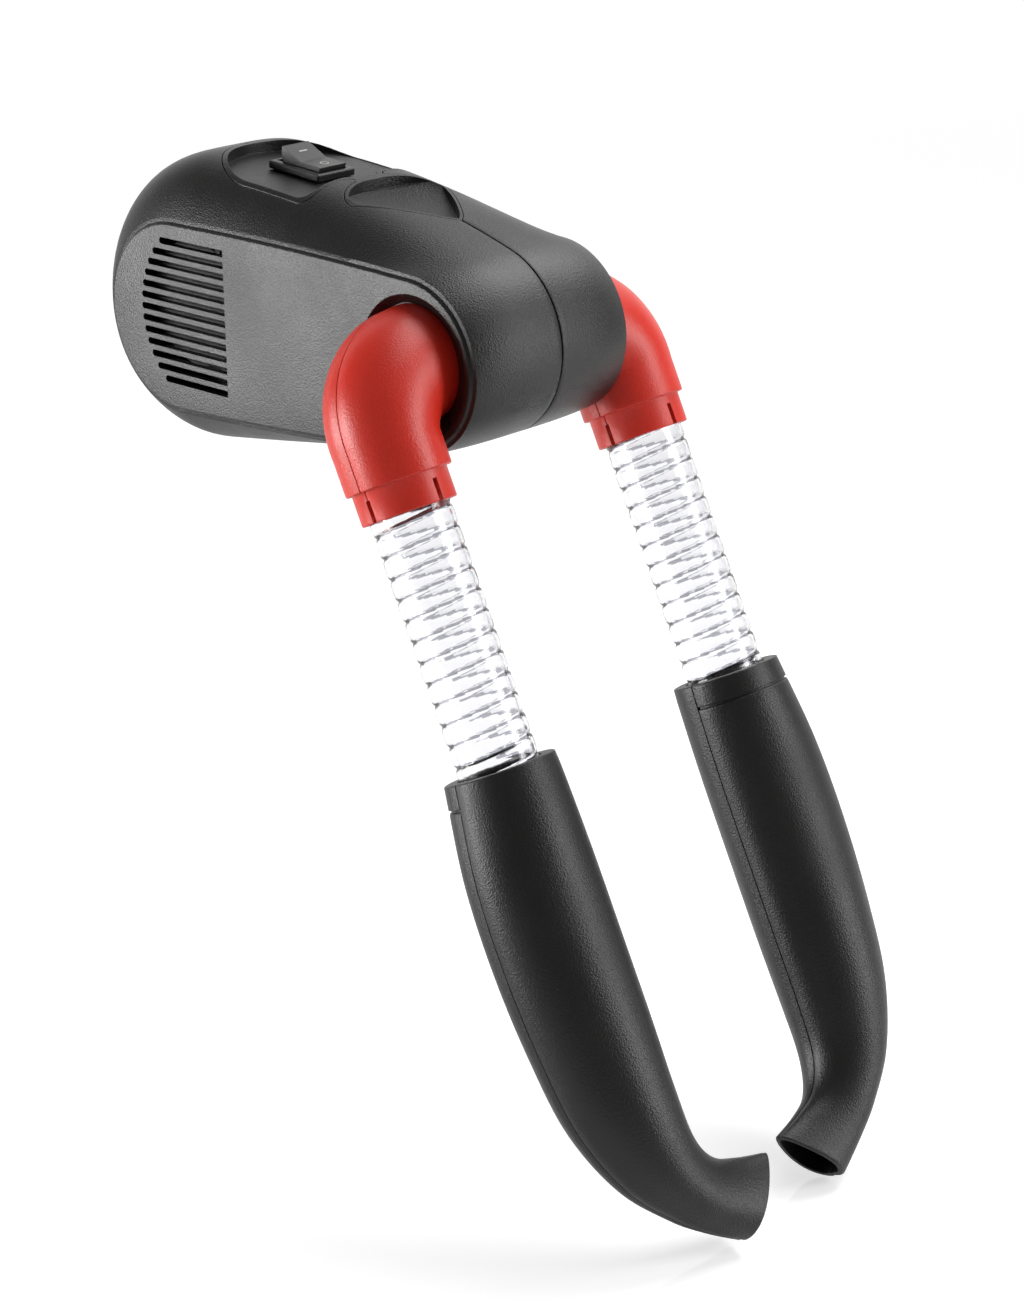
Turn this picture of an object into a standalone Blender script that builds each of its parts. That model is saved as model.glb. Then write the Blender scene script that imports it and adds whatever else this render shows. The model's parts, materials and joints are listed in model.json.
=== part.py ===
"""Portable boot dryer: a hand-sized blower housing with two swivelling arms that blow warm air into a pair
of boots.

Lengths are in metres, +X is the dryer's right side, +Y its fan end and +Z up.  Everything is laid out round
the port axis, the line along X that both arms swivel on.  The last step sets the whole dryer down with the
middle of its lowest level at the origin.
"""

import math

import bmesh
import bpy
from mathutils import Matrix, Vector

MM = 0.001
GAP = 0.3 * MM  # between pieces that touch
RUN = 0.15 * MM  # round a shaft or pin that turns
MERGE = 0.001 * MM
ROUND = 32  # sides of an ordinary turned piece
HALF_ROUND = 9  # sides of half an elbow or nozzle
HOSE_SIDES = 16
PORT_SIDES = 36

# Housing: two moulded halves that meet on the middle plane.  An outline is an egg: a nose circle, a fan
# circle, and a large arc over and one under that touch both.
NOSE_CENTRE = (-1.2 * MM, 2.0 * MM)
NOSE_RADIUS = 27.8 * MM
FAN_CENTRE = (93.0 * MM, 1.2 * MM)
FAN_RADIUS = 43.3 * MM
CREST_RADIUS = 330 * MM
KEEL_RADIUS = 1500 * MM
HALF_WIDTH = 32.0 * MM
WALL = 2.2 * MM
PANEL_NOSE_CENTRE = (0.0, 0.0)
PANEL_NOSE_RADIUS = 24.5 * MM
PANEL_FAN_CENTRE = (97.0 * MM, -2.8 * MM)
PANEL_FAN_RADIUS = 28.5 * MM
PANEL_EDGE_RADIUS = 1500 * MM
PANEL_STEP = 1.2 * MM
PANEL_LEDGE = 1.0 * MM
CROWN_POWERS = (3.2, 4.6)  # at the nose and at the fan end

# Hoses.
HOSE_RADIUS = 11.75 * MM
HOSE_WALL = 1.0 * MM
HOSE_RIB = 0.85 * MM
HOSE_PITCH = 6.0 * MM
HOSE_SHOWN = 73.7 * MM
HOSE_GRIP = 9.0 * MM

# Ports and elbows, which are sized by the hose they feed and set out from the housing's sides.
PORT_BORE = HOSE_RADIUS + 3.35 * MM
PORT_BOSS_RADIUS = PORT_BORE + 5.4 * MM
PORT_DISH_RADIUS = PORT_BORE + 6.4 * MM
PORT_DISH_DEPTH = 3.0 * MM
PORT_FACE = HALF_WIDTH - 4.0 * MM
PORT_BACK = PORT_FACE - 7.3 * MM
ARM_SPREAD = HALF_WIDTH + HOSE_RADIUS + 4.85 * MM
ARM_LEAN = 26.1
STUB_CLEARANCE = 0.3 * MM
ELBOW_WALL = 2.0 * MM
ELBOW_PORT_RADIUS = PORT_BORE + 1.7 * MM
ELBOW_LEG_RADIUS = HOSE_RADIUS + 3.4 * MM
ELBOW_FLANGE_RADIUS = ELBOW_PORT_RADIUS
ELBOW_FLANGE_THICKNESS = 1.8 * MM
ELBOW_LEG_END = 29.5 * MM
ELBOW_STOP_BORE = HOSE_RADIUS - 1.55 * MM
ELBOW_STOP = 1.8 * MM
STEP_SLOPE = 0.3 * MM  # every moulded step leans by this much
COLLAR_END = 38.4 * MM
COLLAR_WALL = 1.5 * MM
COLLAR_SLOT = 1.5 * MM
COLLAR_SLOT_LENGTH = 6.5 * MM

# Nozzles.  A section runs from a point on the inner edge to one on the outer edge: (inward, down) from the
# top of the nozzle's axis for each, then the half depth, then how far the inner side is pinched to a point.
# The sections are drawn for the sleeve radius below, and are widened when the hose needs a wider sleeve.
NOZZLE_SLEEVE = HOSE_RADIUS + 4.15 * MM
NOZZLE_DRAWN_SLEEVE = 15.9 * MM
NOZZLE_WALL = 2.0 * MM
NOZZLE_COLLAR = 6.5 * MM
NOZZLE_GROOVE = 1.0 * MM
NOZZLE_GROOVE_SHAPE = ((0.0, 0.0), (0.6, 0.3), (0.6, 0.7), (0.0, 1.0))  # (in, down), in the sections' units
NOZZLE_TURNS = {"left": -8.0, "right": 0.0}
NOZZLE_SECTIONS = (
    ((15.9, 0.0), (-15.9, 0.0), 15.9, 0.0),
    ((16.4, 6.5), (-17.0, 6.5), 16.2, 0.0),
    ((17.1, 28.0), (-20.3, 28.0), 16.9, 0.0),
    ((17.2, 53.0), (-20.9, 53.0), 17.0, 0.0),
    ((17.2, 78.0), (-19.2, 78.0), 16.6, 0.0),
    ((17.1, 98.0), (-15.5, 101.0), 15.6, 0.02),
    ((18.2, 113.5), (-6.5, 121.0), 13.8, 0.12),
    ((23.5, 122.5), (5.5, 134.5), 11.8, 0.30),
    ((32.5, 126.5), (15.5, 142.5), 10.2, 0.45),
    ((42.6, 129.1), (25.0, 148.5), 9.3, 0.55),
)

# Inlet slots in each side panel: level bars of one pitch, square at the front, their rear ends on a circle.
SLOT_COUNT = 13
SLOT_PITCH = 3.5 * MM
SLOT_HEIGHT = 1.9 * MM
SLOT_FRONT = 74.6 * MM
SLOT_MIDDLE = -1.2 * MM
SLOT_ARC_CENTRE = 83.0 * MM
SLOT_ARC_RADIUS = 28.5 * MM

# Top insert: a flat, sloping switch panel with a round rear end, a bridge and a dished oval for the thumb.
PANEL_SLOPE = 4.6
PANEL_HEIGHT = 38.3 * MM  # at the front edge of the switch
INSERT_THICKNESS = 2.5 * MM
LOBE_HALF_WIDTH = 23.5 * MM
LOBE_FRONT = 48.0 * MM
LOBE_REAR = 73.5 * MM
BRIDGE_HALF_WIDTH = 5.5 * MM
THUMB_CENTRE = 25.0 * MM
THUMB_HALF_WIDTH = 18.5 * MM
THUMB_HALF_LENGTH = 20.0 * MM
THUMB_FLOOR = 29.0 * MM
DISH_DEPTH = 5.0 * MM
DISH_HEIGHT = 36.3 * MM
DISH_SLOPE = 12.5
INSERT_RIM = 1.2 * MM

# Rocker switch.
SWITCH_FRONT = 59.5 * MM
SWITCH_LENGTH = 21.0 * MM
SWITCH_WIDTH = 15.0 * MM
SWITCH_RIM = 2.4 * MM
SWITCH_BODY_DEPTH = 9.0 * MM
SWITCH_RIM_OVERLAP = 1.2 * MM
SWITCH_CHAMFER = 0.5 * MM
ROCKER_LENGTH = 16.4 * MM
ROCKER_WIDTH = 10.4 * MM
ROCKER_ANGLE = 11.0
ROCKER_DIP = 1.4 * MM  # how far its middle stands above the rim
ROCKER_DEPTH = 3.0 * MM
ROCKER_PIN_RADIUS = 1.2 * MM
ROCKER_PIN_REACH = 0.6 * MM
ROCKER_PIN_DEPTH = 1.6 * MM  # below the top of the rim
TERMINAL_SIZE = (4.8 * MM, 0.8 * MM, 5.5 * MM)
TERMINAL_PLACES = (-6.5 * MM, -0.5 * MM)

# Blower.  The duct line runs from the port axis back and down by DUCT_DIP.
DUCT_DIP = 12.0
DUCT_WALL = 1.6 * MM
MANIFOLD_RADIUS = 16.0 * MM
MANIFOLD_REACH = PORT_BACK - 2.5 * MM
MANIFOLD_LENGTH = 18.0 * MM
HEATER_LENGTH = 38.0 * MM
OUTLET_HALF = 13.0 * MM
DUCT_HALF_WIDTH = 16.4 * MM
SCROLL_STEPS = 26
IMPELLER_RADIUS = 26.0 * MM
IMPELLER_HALF_WIDTH = 14.0 * MM
IMPELLER_BLADES = 14
IMPELLER_RUNNING_GAP = 1.6 * MM
BLADE_DEPTH = 6.0 * MM
BLADE_THICKNESS = 1.0 * MM
BLADE_ANGLE = 40.0
BLADE_RING = 1.2 * MM
HUB_RADIUS = 4.0 * MM
SHAFT_RADIUS = 1.5 * MM
INLET_RADIUS = 21.0 * MM
MOTOR_RADIUS = 13.8 * MM
MOTOR_START = 4.0 * MM
MOTOR_END = HALF_WIDTH - 7.3 * MM
BAFFLE_RADIUS = 19.0 * MM
BAFFLE_THICKNESS = 1.5 * MM
LEG_ANGLES = (30.0, 150.0, 270.0)
LEG_CIRCLE = 23.0 * MM
LEG_RADIUS = 1.8 * MM

# Heater.
CARD_THICKNESS = 1.0 * MM
CARD_HALF_WIDTH = 9.0 * MM
CARD_LENGTH = 34.0 * MM
CARD_TAB = 4.0 * MM
COIL_WIRE_RADIUS = 0.5 * MM
COIL_TURNS = 5
COIL_POINTS = 12  # to a turn
CUTOUT_RADIUS = 5.5 * MM
CUTOUT_HEIGHT = 4.0 * MM
CUTOUT_PLACE = 40.0 * MM

# Electronics.
BOARD_SIZE = (1.6 * MM, 24.0 * MM, 18.0 * MM)
BOARD_CENTRE = (7.5 * MM - HALF_WIDTH, 44.0 * MM, 12.0 * MM)
POST_RADIUS = 2.2 * MM
POST_SPREAD = 8.0 * MM
PEG_RADIUS = 1.0 * MM
PEG_PROUD = 1.0 * MM
CAPACITOR_RADIUS = 4.0 * MM
CAPACITOR_HEIGHT = 6.0 * MM

# Screws, driven from the right side, at (y, z) on the middle plane.
SCREW_PLACES = {
    "shoulder": (26.0 * MM, 16.0 * MM),
    "keel_front": (31.0 * MM, -28.3 * MM),
    "keel_rear": (64.0 * MM, -32.5 * MM),
    "fan_low": (128.6 * MM, -13.5 * MM),
    "fan_high": (118.0 * MM, 29.0 * MM),
}
SCREW_RADIUS = 1.4 * MM
SCREW_HEAD_RADIUS = 2.8 * MM
SCREW_HEAD_HEIGHT = 2.0 * MM
SCREW_SEAT = 12.0 * MM
SCREW_LENGTH = 22.0 * MM
SCREW_BOSS_RADIUS = 3.4 * MM

# Cord entry, on the seam at the fan end.
GLAND_RADIUS = 4.7 * MM
GLAND_FLANGE_RADIUS = 6.6 * MM
GLAND_FLANGE_THICKNESS = 1.4 * MM
GLAND_FLANGE_DEPTH = 3.3 * MM  # from the outside of the wall to the flange
GLAND_BORE = 3.2 * MM
GLAND_PROUD = 1.0 * MM
GLAND_SLEEVE = 2.0 * MM  # inward of the flange


# ---------------------------------------------------------------- scene, materials and objects


def clear_scene():
    for obj in list(bpy.data.objects):
        bpy.data.objects.remove(obj, do_unlink=True)


def new_collection(name):
    collection = bpy.data.collections.new(name)
    bpy.context.scene.collection.children.link(collection)
    return collection


clear_scene()
PARTS = new_collection("boot_dryer")
CUTTERS = new_collection("cutters")


def plastic(name, colour, roughness, metallic=0.0):
    """A Principled material of one colour."""
    material = bpy.data.materials.new(name)
    material.use_nodes = True
    shader = material.node_tree.nodes["Principled BSDF"]
    shader.inputs["Base Color"].default_value = (*colour, 1.0)
    shader.inputs["Roughness"].default_value = roughness
    shader.inputs["Metallic"].default_value = metallic
    material.diffuse_color = (*colour, 1.0)
    return material


def empty(name, parent=None, location=(0.0, 0.0, 0.0), rotation=(0.0, 0.0, 0.0)):
    frame = bpy.data.objects.new(name, None)
    PARTS.objects.link(frame)
    frame.parent = parent
    frame.location = location
    frame.rotation_euler = [math.radians(angle) for angle in rotation]
    return frame


def place(name, mesh, frame, material=None, location=(0.0, 0.0, 0.0), rotation=(0.0, 0.0, 0.0)):
    """A visible piece in its frame, smooth on its round faces.  Copies of a piece share its mesh."""
    obj = bpy.data.objects.new(name, mesh)
    PARTS.objects.link(obj)
    obj.parent = frame
    obj.location = location
    obj.rotation_euler = [math.radians(angle) for angle in rotation]
    if material is not None and not mesh.materials:
        mesh.materials.append(material)
    mesh.shade_smooth()
    mesh.set_sharp_from_angle(angle=math.radians(35))
    return obj


def helper(mesh, frame, location=(0.0, 0.0, 0.0), rotation=(0.0, 0.0, 0.0)):
    """An object that only cuts or joins others."""
    obj = bpy.data.objects.new("cutter_" + mesh.name, mesh)
    CUTTERS.objects.link(obj)
    obj.parent = frame
    obj.location = location
    obj.rotation_euler = [math.radians(angle) for angle in rotation]
    obj.hide_render = True
    obj.display_type = "WIRE"
    return obj


def boolean(obj, other, operation):
    modifier = obj.modifiers.new(operation.lower(), "BOOLEAN")
    modifier.operation = operation
    modifier.object = other
    modifier.solver = "EXACT"


def cut(obj, *others):
    for other in others:
        boolean(obj, other, "DIFFERENCE")


def join(obj, *others):
    for other in others:
        boolean(obj, other, "UNION")


# ---------------------------------------------------------------- meshes


def finish_mesh(name, bm):
    bmesh.ops.remove_doubles(bm, verts=bm.verts, dist=MERGE)
    bmesh.ops.dissolve_degenerate(bm, edges=bm.edges, dist=MERGE)
    bmesh.ops.recalc_face_normals(bm, faces=bm.faces)
    mesh = bpy.data.meshes.new(name)
    bm.to_mesh(mesh)
    bm.free()
    return mesh


def box(name, low, high):
    bm = bmesh.new()
    bmesh.ops.create_cube(bm, size=1.0)
    size = Vector(high) - Vector(low)
    bmesh.ops.scale(bm, vec=size, verts=bm.verts)
    bmesh.ops.translate(bm, vec=(Vector(high) + Vector(low)) / 2, verts=bm.verts)
    return finish_mesh(name, bm)


AXIS_TURNS = {
    "X": Matrix.Rotation(math.radians(90), 4, "Y"),
    "Y": Matrix.Rotation(math.radians(-90), 4, "X"),
    "Z": Matrix.Identity(4),
}


def cylinder(name, radius, start, end, axis="X", centre=(0.0, 0.0), end_radius=None, sides=ROUND):
    """A cylinder, or a cone, along an axis from start to end; centre is its place on the other two axes."""
    bm = bmesh.new()
    bmesh.ops.create_cone(
        bm,
        cap_ends=True,
        segments=sides,
        radius1=radius,
        radius2=radius if end_radius is None else end_radius,
        depth=end - start,
    )
    middle = (start + end) / 2
    across = iter(centre)
    offset = [middle if letter == axis else next(across) for letter in "XYZ"]
    bm.transform(Matrix.Translation(offset) @ AXIS_TURNS[axis])
    return finish_mesh(name, bm)


def ellipsoid(name, reach):
    bm = bmesh.new()
    bmesh.ops.create_uvsphere(bm, u_segments=28, v_segments=14, radius=1.0)
    bmesh.ops.scale(bm, vec=reach, verts=bm.verts)
    return finish_mesh(name, bm)


def prism(name, outline, start, end):
    """A flat outline of (y, z) points made solid along X."""
    bm = bmesh.new()
    for ring in loft(bm, [[(x, y, z) for y, z in outline] for x in (start, end)], True):
        bm.faces.new(ring)
    return finish_mesh(name, bm)


def turned(name, profile, sides=ROUND):
    """A closed (radius, height) profile turned about Z, as a mesh that can be cut."""
    rings = []
    bm = bmesh.new()
    for step in range(sides):
        angle = 2 * math.pi * step / sides
        rings.append([bm.verts.new((r * math.cos(angle), r * math.sin(angle), h)) for r, h in profile])
    for ring, following in zip(rings, rings[1:] + rings[:1]):
        for here, there in zip(range(len(profile)), list(range(1, len(profile))) + [0]):
            bm.faces.new((ring[here], ring[there], following[there], following[here]))
    return finish_mesh(name, bm)


def loft(bm, rings, closed_ring):
    """Walls between neighbouring rings of points.  Returns the rings of vertices."""
    made = [[bm.verts.new(point) for point in ring] for ring in rings]
    for ring, following in zip(made, made[1:]):
        pairs = list(zip(range(len(ring) - 1), range(1, len(ring))))
        if closed_ring:
            pairs.append((len(ring) - 1, 0))
        for here, there in pairs:
            bm.faces.new((ring[here], ring[there], following[there], following[here]))
    return made


def split_shell(name, outer, inner):
    """A half tube with a wall: outer and inner are stations of equally many points round half a section."""
    bm = bmesh.new()
    sections = [list(out) + list(reversed(within)) for out, within in zip(outer, inner)]
    made = loft(bm, sections, True)
    for ring in (made[0], made[-1]):
        count = len(ring) // 2
        for k in range(count - 1):
            bm.faces.new((ring[k], ring[k + 1], ring[-2 - k], ring[-1 - k]))
    return finish_mesh(name, bm)


# ---------------------------------------------------------------- housing


def arc(centre, radius, start, end, count):
    """Points on an arc, its last one left to the next arc."""
    steps = [start + (end - start) * k / count for k in range(count)]
    return [(centre[0] + radius * math.cos(a), centre[1] + radius * math.sin(a)) for a in steps]


def touching_centre(nose, nose_radius, fan, fan_radius, radius, above):
    """Centre of the large arc of that radius that holds both circles and touches them."""
    to_nose = radius - nose_radius
    to_fan = radius - fan_radius
    between = math.dist(nose, fan)
    along = (to_nose**2 - to_fan**2 + between**2) / (2 * between)
    aside = math.sqrt(to_nose**2 - along**2) * (1 if above else -1)
    line = ((fan[0] - nose[0]) / between, (fan[1] - nose[1]) / between)
    return (nose[0] + along * line[0] - aside * line[1], nose[1] + along * line[1] + aside * line[0])


def heading(start, end):
    return math.atan2(end[1] - start[1], end[0] - start[0])


def egg(nose, nose_radius, fan, fan_radius, crest, keel, inset=0.0):
    """The (y, z) outline of the housing or of its side panel, drawn in by inset."""
    over = touching_centre(nose, nose_radius, fan, fan_radius, crest, above=False)
    under = touching_centre(nose, nose_radius, fan, fan_radius, keel, above=True)
    nose_top, fan_top = heading(over, nose), heading(over, fan)
    nose_low, fan_low = heading(under, nose) + 2 * math.pi, heading(under, fan)
    return (
        arc(over, crest - inset, fan_top, nose_top, 9)
        + arc(nose, nose_radius - inset, nose_top, nose_low, 13)
        + arc(under, keel - inset, nose_low, fan_low + 2 * math.pi, 6)
        + arc(fan, fan_radius - inset, fan_low, fan_top, 15)
    )


def middle_outline(inset=0.0):
    return egg(NOSE_CENTRE, NOSE_RADIUS, FAN_CENTRE, FAN_RADIUS, CREST_RADIUS, KEEL_RADIUS, inset)


def panel_outline(inset=0.0):
    nose = (PANEL_NOSE_CENTRE, PANEL_NOSE_RADIUS)
    fan_end = (PANEL_FAN_CENTRE, PANEL_FAN_RADIUS)
    return egg(*nose, *fan_end, PANEL_EDGE_RADIUS, PANEL_EDGE_RADIUS, inset)


def crown_ring(share, reach, inset):
    """The housing's outline at a share of the way from the middle plane out to the panel's edge."""
    ring = []
    for outer, edge in zip(middle_outline(inset), panel_outline(inset - PANEL_LEDGE)):
        along = (outer[0] - NOSE_CENTRE[0]) / (FAN_CENTRE[0] - NOSE_CENTRE[0])
        along = min(max(along, 0.0), 1.0)
        power = CROWN_POWERS[0] + (CROWN_POWERS[1] - CROWN_POWERS[0]) * along
        rise = 1 - share**power
        place_y = edge[0] + (outer[0] - edge[0]) * rise
        place_z = edge[1] + (outer[1] - edge[1]) * rise
        ring.append((share * reach, place_y, place_z))
    return ring


CROWN_STEPS = (0.0, 0.36, 0.62, 0.79, 0.91, 1.0)


def outer_rings():
    """The outside of one half, from the middle plane over the crown and the panel's rounded step."""
    rings = [crown_ring(share, HALF_WIDTH - PANEL_STEP, 0.0) for share in CROWN_STEPS]
    for inset, rise in ((0.0, 0.0), (0.2, 0.7), (0.9, 1.0)):
        x = HALF_WIDTH - PANEL_STEP + PANEL_STEP * rise
        rings.append([(x, y, z) for y, z in panel_outline(inset * PANEL_STEP)])
    return rings


def inner_rings():
    return [crown_ring(share, HALF_WIDTH - WALL, WALL) for share in (0.0, 0.5, 0.78, 0.93, 1.0)]


def mirrored(rings, side):
    """Rings on the side asked for, held off the middle plane by half a gap."""
    return [[(side * max(x, GAP / 2), y, z) for x, y, z in ring] for ring in rings]


def housing_shell(name, side):
    bm = bmesh.new()
    outer = loft(bm, mirrored(outer_rings(), side), True)
    inner = loft(bm, mirrored(inner_rings(), side), True)
    bm.faces.new(outer[-1])
    bm.faces.new(inner[-1])
    for k in range(len(outer[0])):
        bm.faces.new((outer[0][k - 1], outer[0][k], inner[0][k], inner[0][k - 1]))
    return finish_mesh(name, bm)


def housing_solid(name, rings, frame):
    """Both halves as one solid, to trim what ends at the housing's surface or inside its wall."""
    bm = bmesh.new()
    left = [[(-x, y, z) for x, y, z in ring] for ring in rings[:0:-1]]
    made = loft(bm, left + rings, True)
    bm.faces.new(made[0])
    bm.faces.new(made[-1])
    return helper(finish_mesh(name, bm), frame)


def wall_middle_rings():
    return [crown_ring(share, HALF_WIDTH - WALL / 2, WALL / 2) for share in CROWN_STEPS]


def slot_cutter(index, side, frame):
    """One inlet slot: a bar with a square front end and a round rear end."""
    z = SLOT_MIDDLE + (index - (SLOT_COUNT - 1) / 2) * SLOT_PITCH
    rear = SLOT_ARC_CENTRE + math.sqrt(SLOT_ARC_RADIUS**2 - (z - SLOT_MIDDLE) ** 2)
    half = SLOT_HEIGHT / 2
    outline = [(SLOT_FRONT, z + half), (SLOT_FRONT, z - half)]
    for k in range(5):
        angle = math.radians(-90 + 45 * k)
        outline.append((rear - half + half * math.cos(angle), z + half * math.sin(angle)))
    low, high = sorted((side * (HALF_WIDTH - 2 * WALL), side * (HALF_WIDTH + WALL)))
    return helper(prism("slot", outline, low, high), frame)


def along_x(name, radius, start, end, centre, side, frame, **more):
    """A round cutter or boss on one side of the middle plane."""
    low, high = sorted((side * start, side * end))
    if side < 0 and "end_radius" in more:
        radius, more["end_radius"] = more["end_radius"], radius
    return helper(cylinder(name, radius, low, high, "X", centre, **more), frame)


def screw_cutters(place_name, side, frame):
    """Right half: a seat for the head and a clear hole.  Left half: a blind pilot hole."""
    centre = SCREW_PLACES[place_name]
    if side < 0:
        depth = SCREW_LENGTH - SCREW_SEAT + GAP
        return [along_x("pilot", SCREW_RADIUS + RUN, -GAP, depth, centre, side, frame, sides=16)]
    return [
        along_x("clear", SCREW_RADIUS + GAP, -GAP, SCREW_SEAT + GAP, centre, side, frame, sides=16),
        along_x("head", SCREW_HEAD_RADIUS + GAP, SCREW_SEAT, 2 * HALF_WIDTH, centre, side, frame, sides=20),
    ]


def port_profile():
    """What is cut out for the elbow, as (radius, height): the bore, its shoulder and the dish round it."""
    seat = ELBOW_PORT_RADIUS + STUB_CLEARANCE
    dish_start = HALF_WIDTH - PORT_DISH_DEPTH
    end = HALF_WIDTH + WALL
    mouth = seat + (PORT_DISH_RADIUS - seat) * (end - dish_start) / PORT_DISH_DEPTH
    bore = [(0.0, end), (0.0, 0.0), (PORT_BORE, 0.0), (PORT_BORE, PORT_FACE)]
    return [*bore, (seat, PORT_FACE), (seat, dish_start), (mouth, end)]


def insert_shapes(grow, frame):
    """The three prisms that make the top insert's plan, each drawn out by grow."""
    low, high = THUMB_FLOOR - grow, 2 * FAN_RADIUS
    lobe = box(
        "lobe",
        (-LOBE_HALF_WIDTH - grow, LOBE_FRONT - grow, low),
        (LOBE_HALF_WIDTH + grow, LOBE_REAR, high),
    )
    lobe_end = cylinder("lobe_end", LOBE_HALF_WIDTH + grow, low, high, "Z", (0.0, LOBE_REAR), sides=40)
    bridge = box(
        "bridge",
        (-BRIDGE_HALF_WIDTH - grow, THUMB_CENTRE, low),
        (BRIDGE_HALF_WIDTH + grow, LOBE_FRONT + 2 * MM, high),
    )
    thumb = cylinder("thumb", 1.0, low, high, "Z", sides=36)
    wide, long = THUMB_HALF_WIDTH + grow, THUMB_HALF_LENGTH + grow
    thumb.transform(Matrix.Translation((0.0, THUMB_CENTRE, 0.0)) @ Matrix.Diagonal((wide, long, 1.0, 1.0)))
    return [helper(mesh, frame) for mesh in (lobe, lobe_end, bridge, thumb)]


def gland_cutter(frame):
    """The round hole on the seam that the gland sits in."""
    rear = FAN_CENTRE[0] + FAN_RADIUS
    radius = GLAND_RADIUS + GAP
    centre = (0.0, FAN_CENTRE[1])
    return helper(cylinder("gland_hole", radius, rear - 3 * WALL, rear + WALL, "Y", centre, sides=24), frame)


def build_housing(root, black):
    core = housing_solid("wall_middle", wall_middle_rings(), root)
    port_room = turned("port_room", port_profile(), PORT_SIDES)
    inner_wall = HALF_WIDTH - WALL / 2
    board_back = -BOARD_CENTRE[0] + BOARD_SIZE[0] / 2 + GAP
    board_front = -BOARD_CENTRE[0] - BOARD_SIZE[0] / 2
    for name, side in (("housing_left", -1), ("housing_right", 1)):
        half = place(name, housing_shell(name, side), root, black)
        on_axis = (0.0, 0.0)
        span = (PORT_BOSS_RADIUS, PORT_BACK, inner_wall)
        join(half, along_x("port_boss", *span, on_axis, side, root, sides=PORT_SIDES))
        for centre in SCREW_PLACES.values():
            boss = along_x("boss", SCREW_BOSS_RADIUS, GAP / 2, HALF_WIDTH, centre, side, root, sides=20)
            boolean(boss, core, "INTERSECT")
            join(half, boss)
        for centre in board_post_places() if side < 0 else ():
            join(half, along_x("post", POST_RADIUS, board_back, inner_wall, centre, side, root, sides=16))
            peg_end = board_front - PEG_PROUD
            join(half, along_x("peg", PEG_RADIUS, peg_end, inner_wall, centre, side, root, sides=12))
        cut(half, helper(port_room, root, rotation=(0.0, 90.0 * side, 0.0)))
        for index in range(SLOT_COUNT):
            cut(half, slot_cutter(index, side, root))
        for place_name in SCREW_PLACES:
            cut(half, *screw_cutters(place_name, side, root))
        cut(half, *insert_shapes(GAP, root))
        cut(half, gland_cutter(root))


# ---------------------------------------------------------------- top insert and switch


def panel_frame(root):
    """The sloping switch panel's own frame: its origin is under the middle of the switch."""
    slope = math.tan(math.radians(PANEL_SLOPE))
    middle = SWITCH_FRONT + SWITCH_LENGTH / 2
    height = PANEL_HEIGHT + SWITCH_LENGTH / 2 * slope
    return empty("switch_panel", root, (0.0, middle, height), (PANEL_SLOPE, 0.0, 0.0))


def build_top_insert(root, panel, black):
    shapes = insert_shapes(0.0, root)
    insert = place("top_insert", shapes[0].data.copy(), root, black)
    join(insert, *shapes[1:])
    boolean(insert, housing_solid("envelope", outer_rings(), root), "INTERSECT")
    front = LOBE_FRONT - SWITCH_FRONT - SWITCH_LENGTH / 2
    wide, rear, high = 2 * HALF_WIDTH, FAN_RADIUS, 2 * HALF_WIDTH
    recess, recess_end = insert_shapes(-INSERT_RIM, root)[:2]
    join(recess, recess_end)
    above = helper(box("above_panel", (-wide, front - rear, 0.0), (wide, rear, high)), panel)
    boolean(recess, above, "INTERSECT")
    below = helper(box("below_panel", (-wide, front, -high), (wide, rear, -INSERT_THICKNESS)), panel)
    cut(insert, recess, below)
    hollow = empty("thumb_dish", root, (0.0, THUMB_CENTRE, DISH_HEIGHT), (DISH_SLOPE, 0.0, 0.0))
    reach = (THUMB_HALF_WIDTH - INSERT_RIM, THUMB_HALF_LENGTH - INSERT_RIM, DISH_DEPTH)
    cut(insert, helper(ellipsoid("dish", reach), hollow))
    half = (SWITCH_WIDTH / 2 - SWITCH_RIM_OVERLAP + GAP, SWITCH_LENGTH / 2 - SWITCH_RIM_OVERLAP + GAP)
    hole = box("switch_hole", (-half[0], -half[1], -10 * MM), (half[0], half[1], 10 * MM))
    cut(insert, helper(hole, panel))


def rocker_profile():
    """Side view of the rocker with its two faces sloping down to the middle, as (y, z)."""
    half = ROCKER_LENGTH / 2
    rise = half * math.tan(math.radians(ROCKER_ANGLE))
    foot = half - ROCKER_DEPTH * math.tan(math.radians(ROCKER_ANGLE)) - ROCKER_DIP
    top = ROCKER_DIP
    faces = [(-half, top + rise), (0.0, top), (half, top + rise)]
    sides = [(half, top), (foot, -ROCKER_DEPTH), (-foot, -ROCKER_DEPTH), (-half, top)]
    return faces + sides


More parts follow.
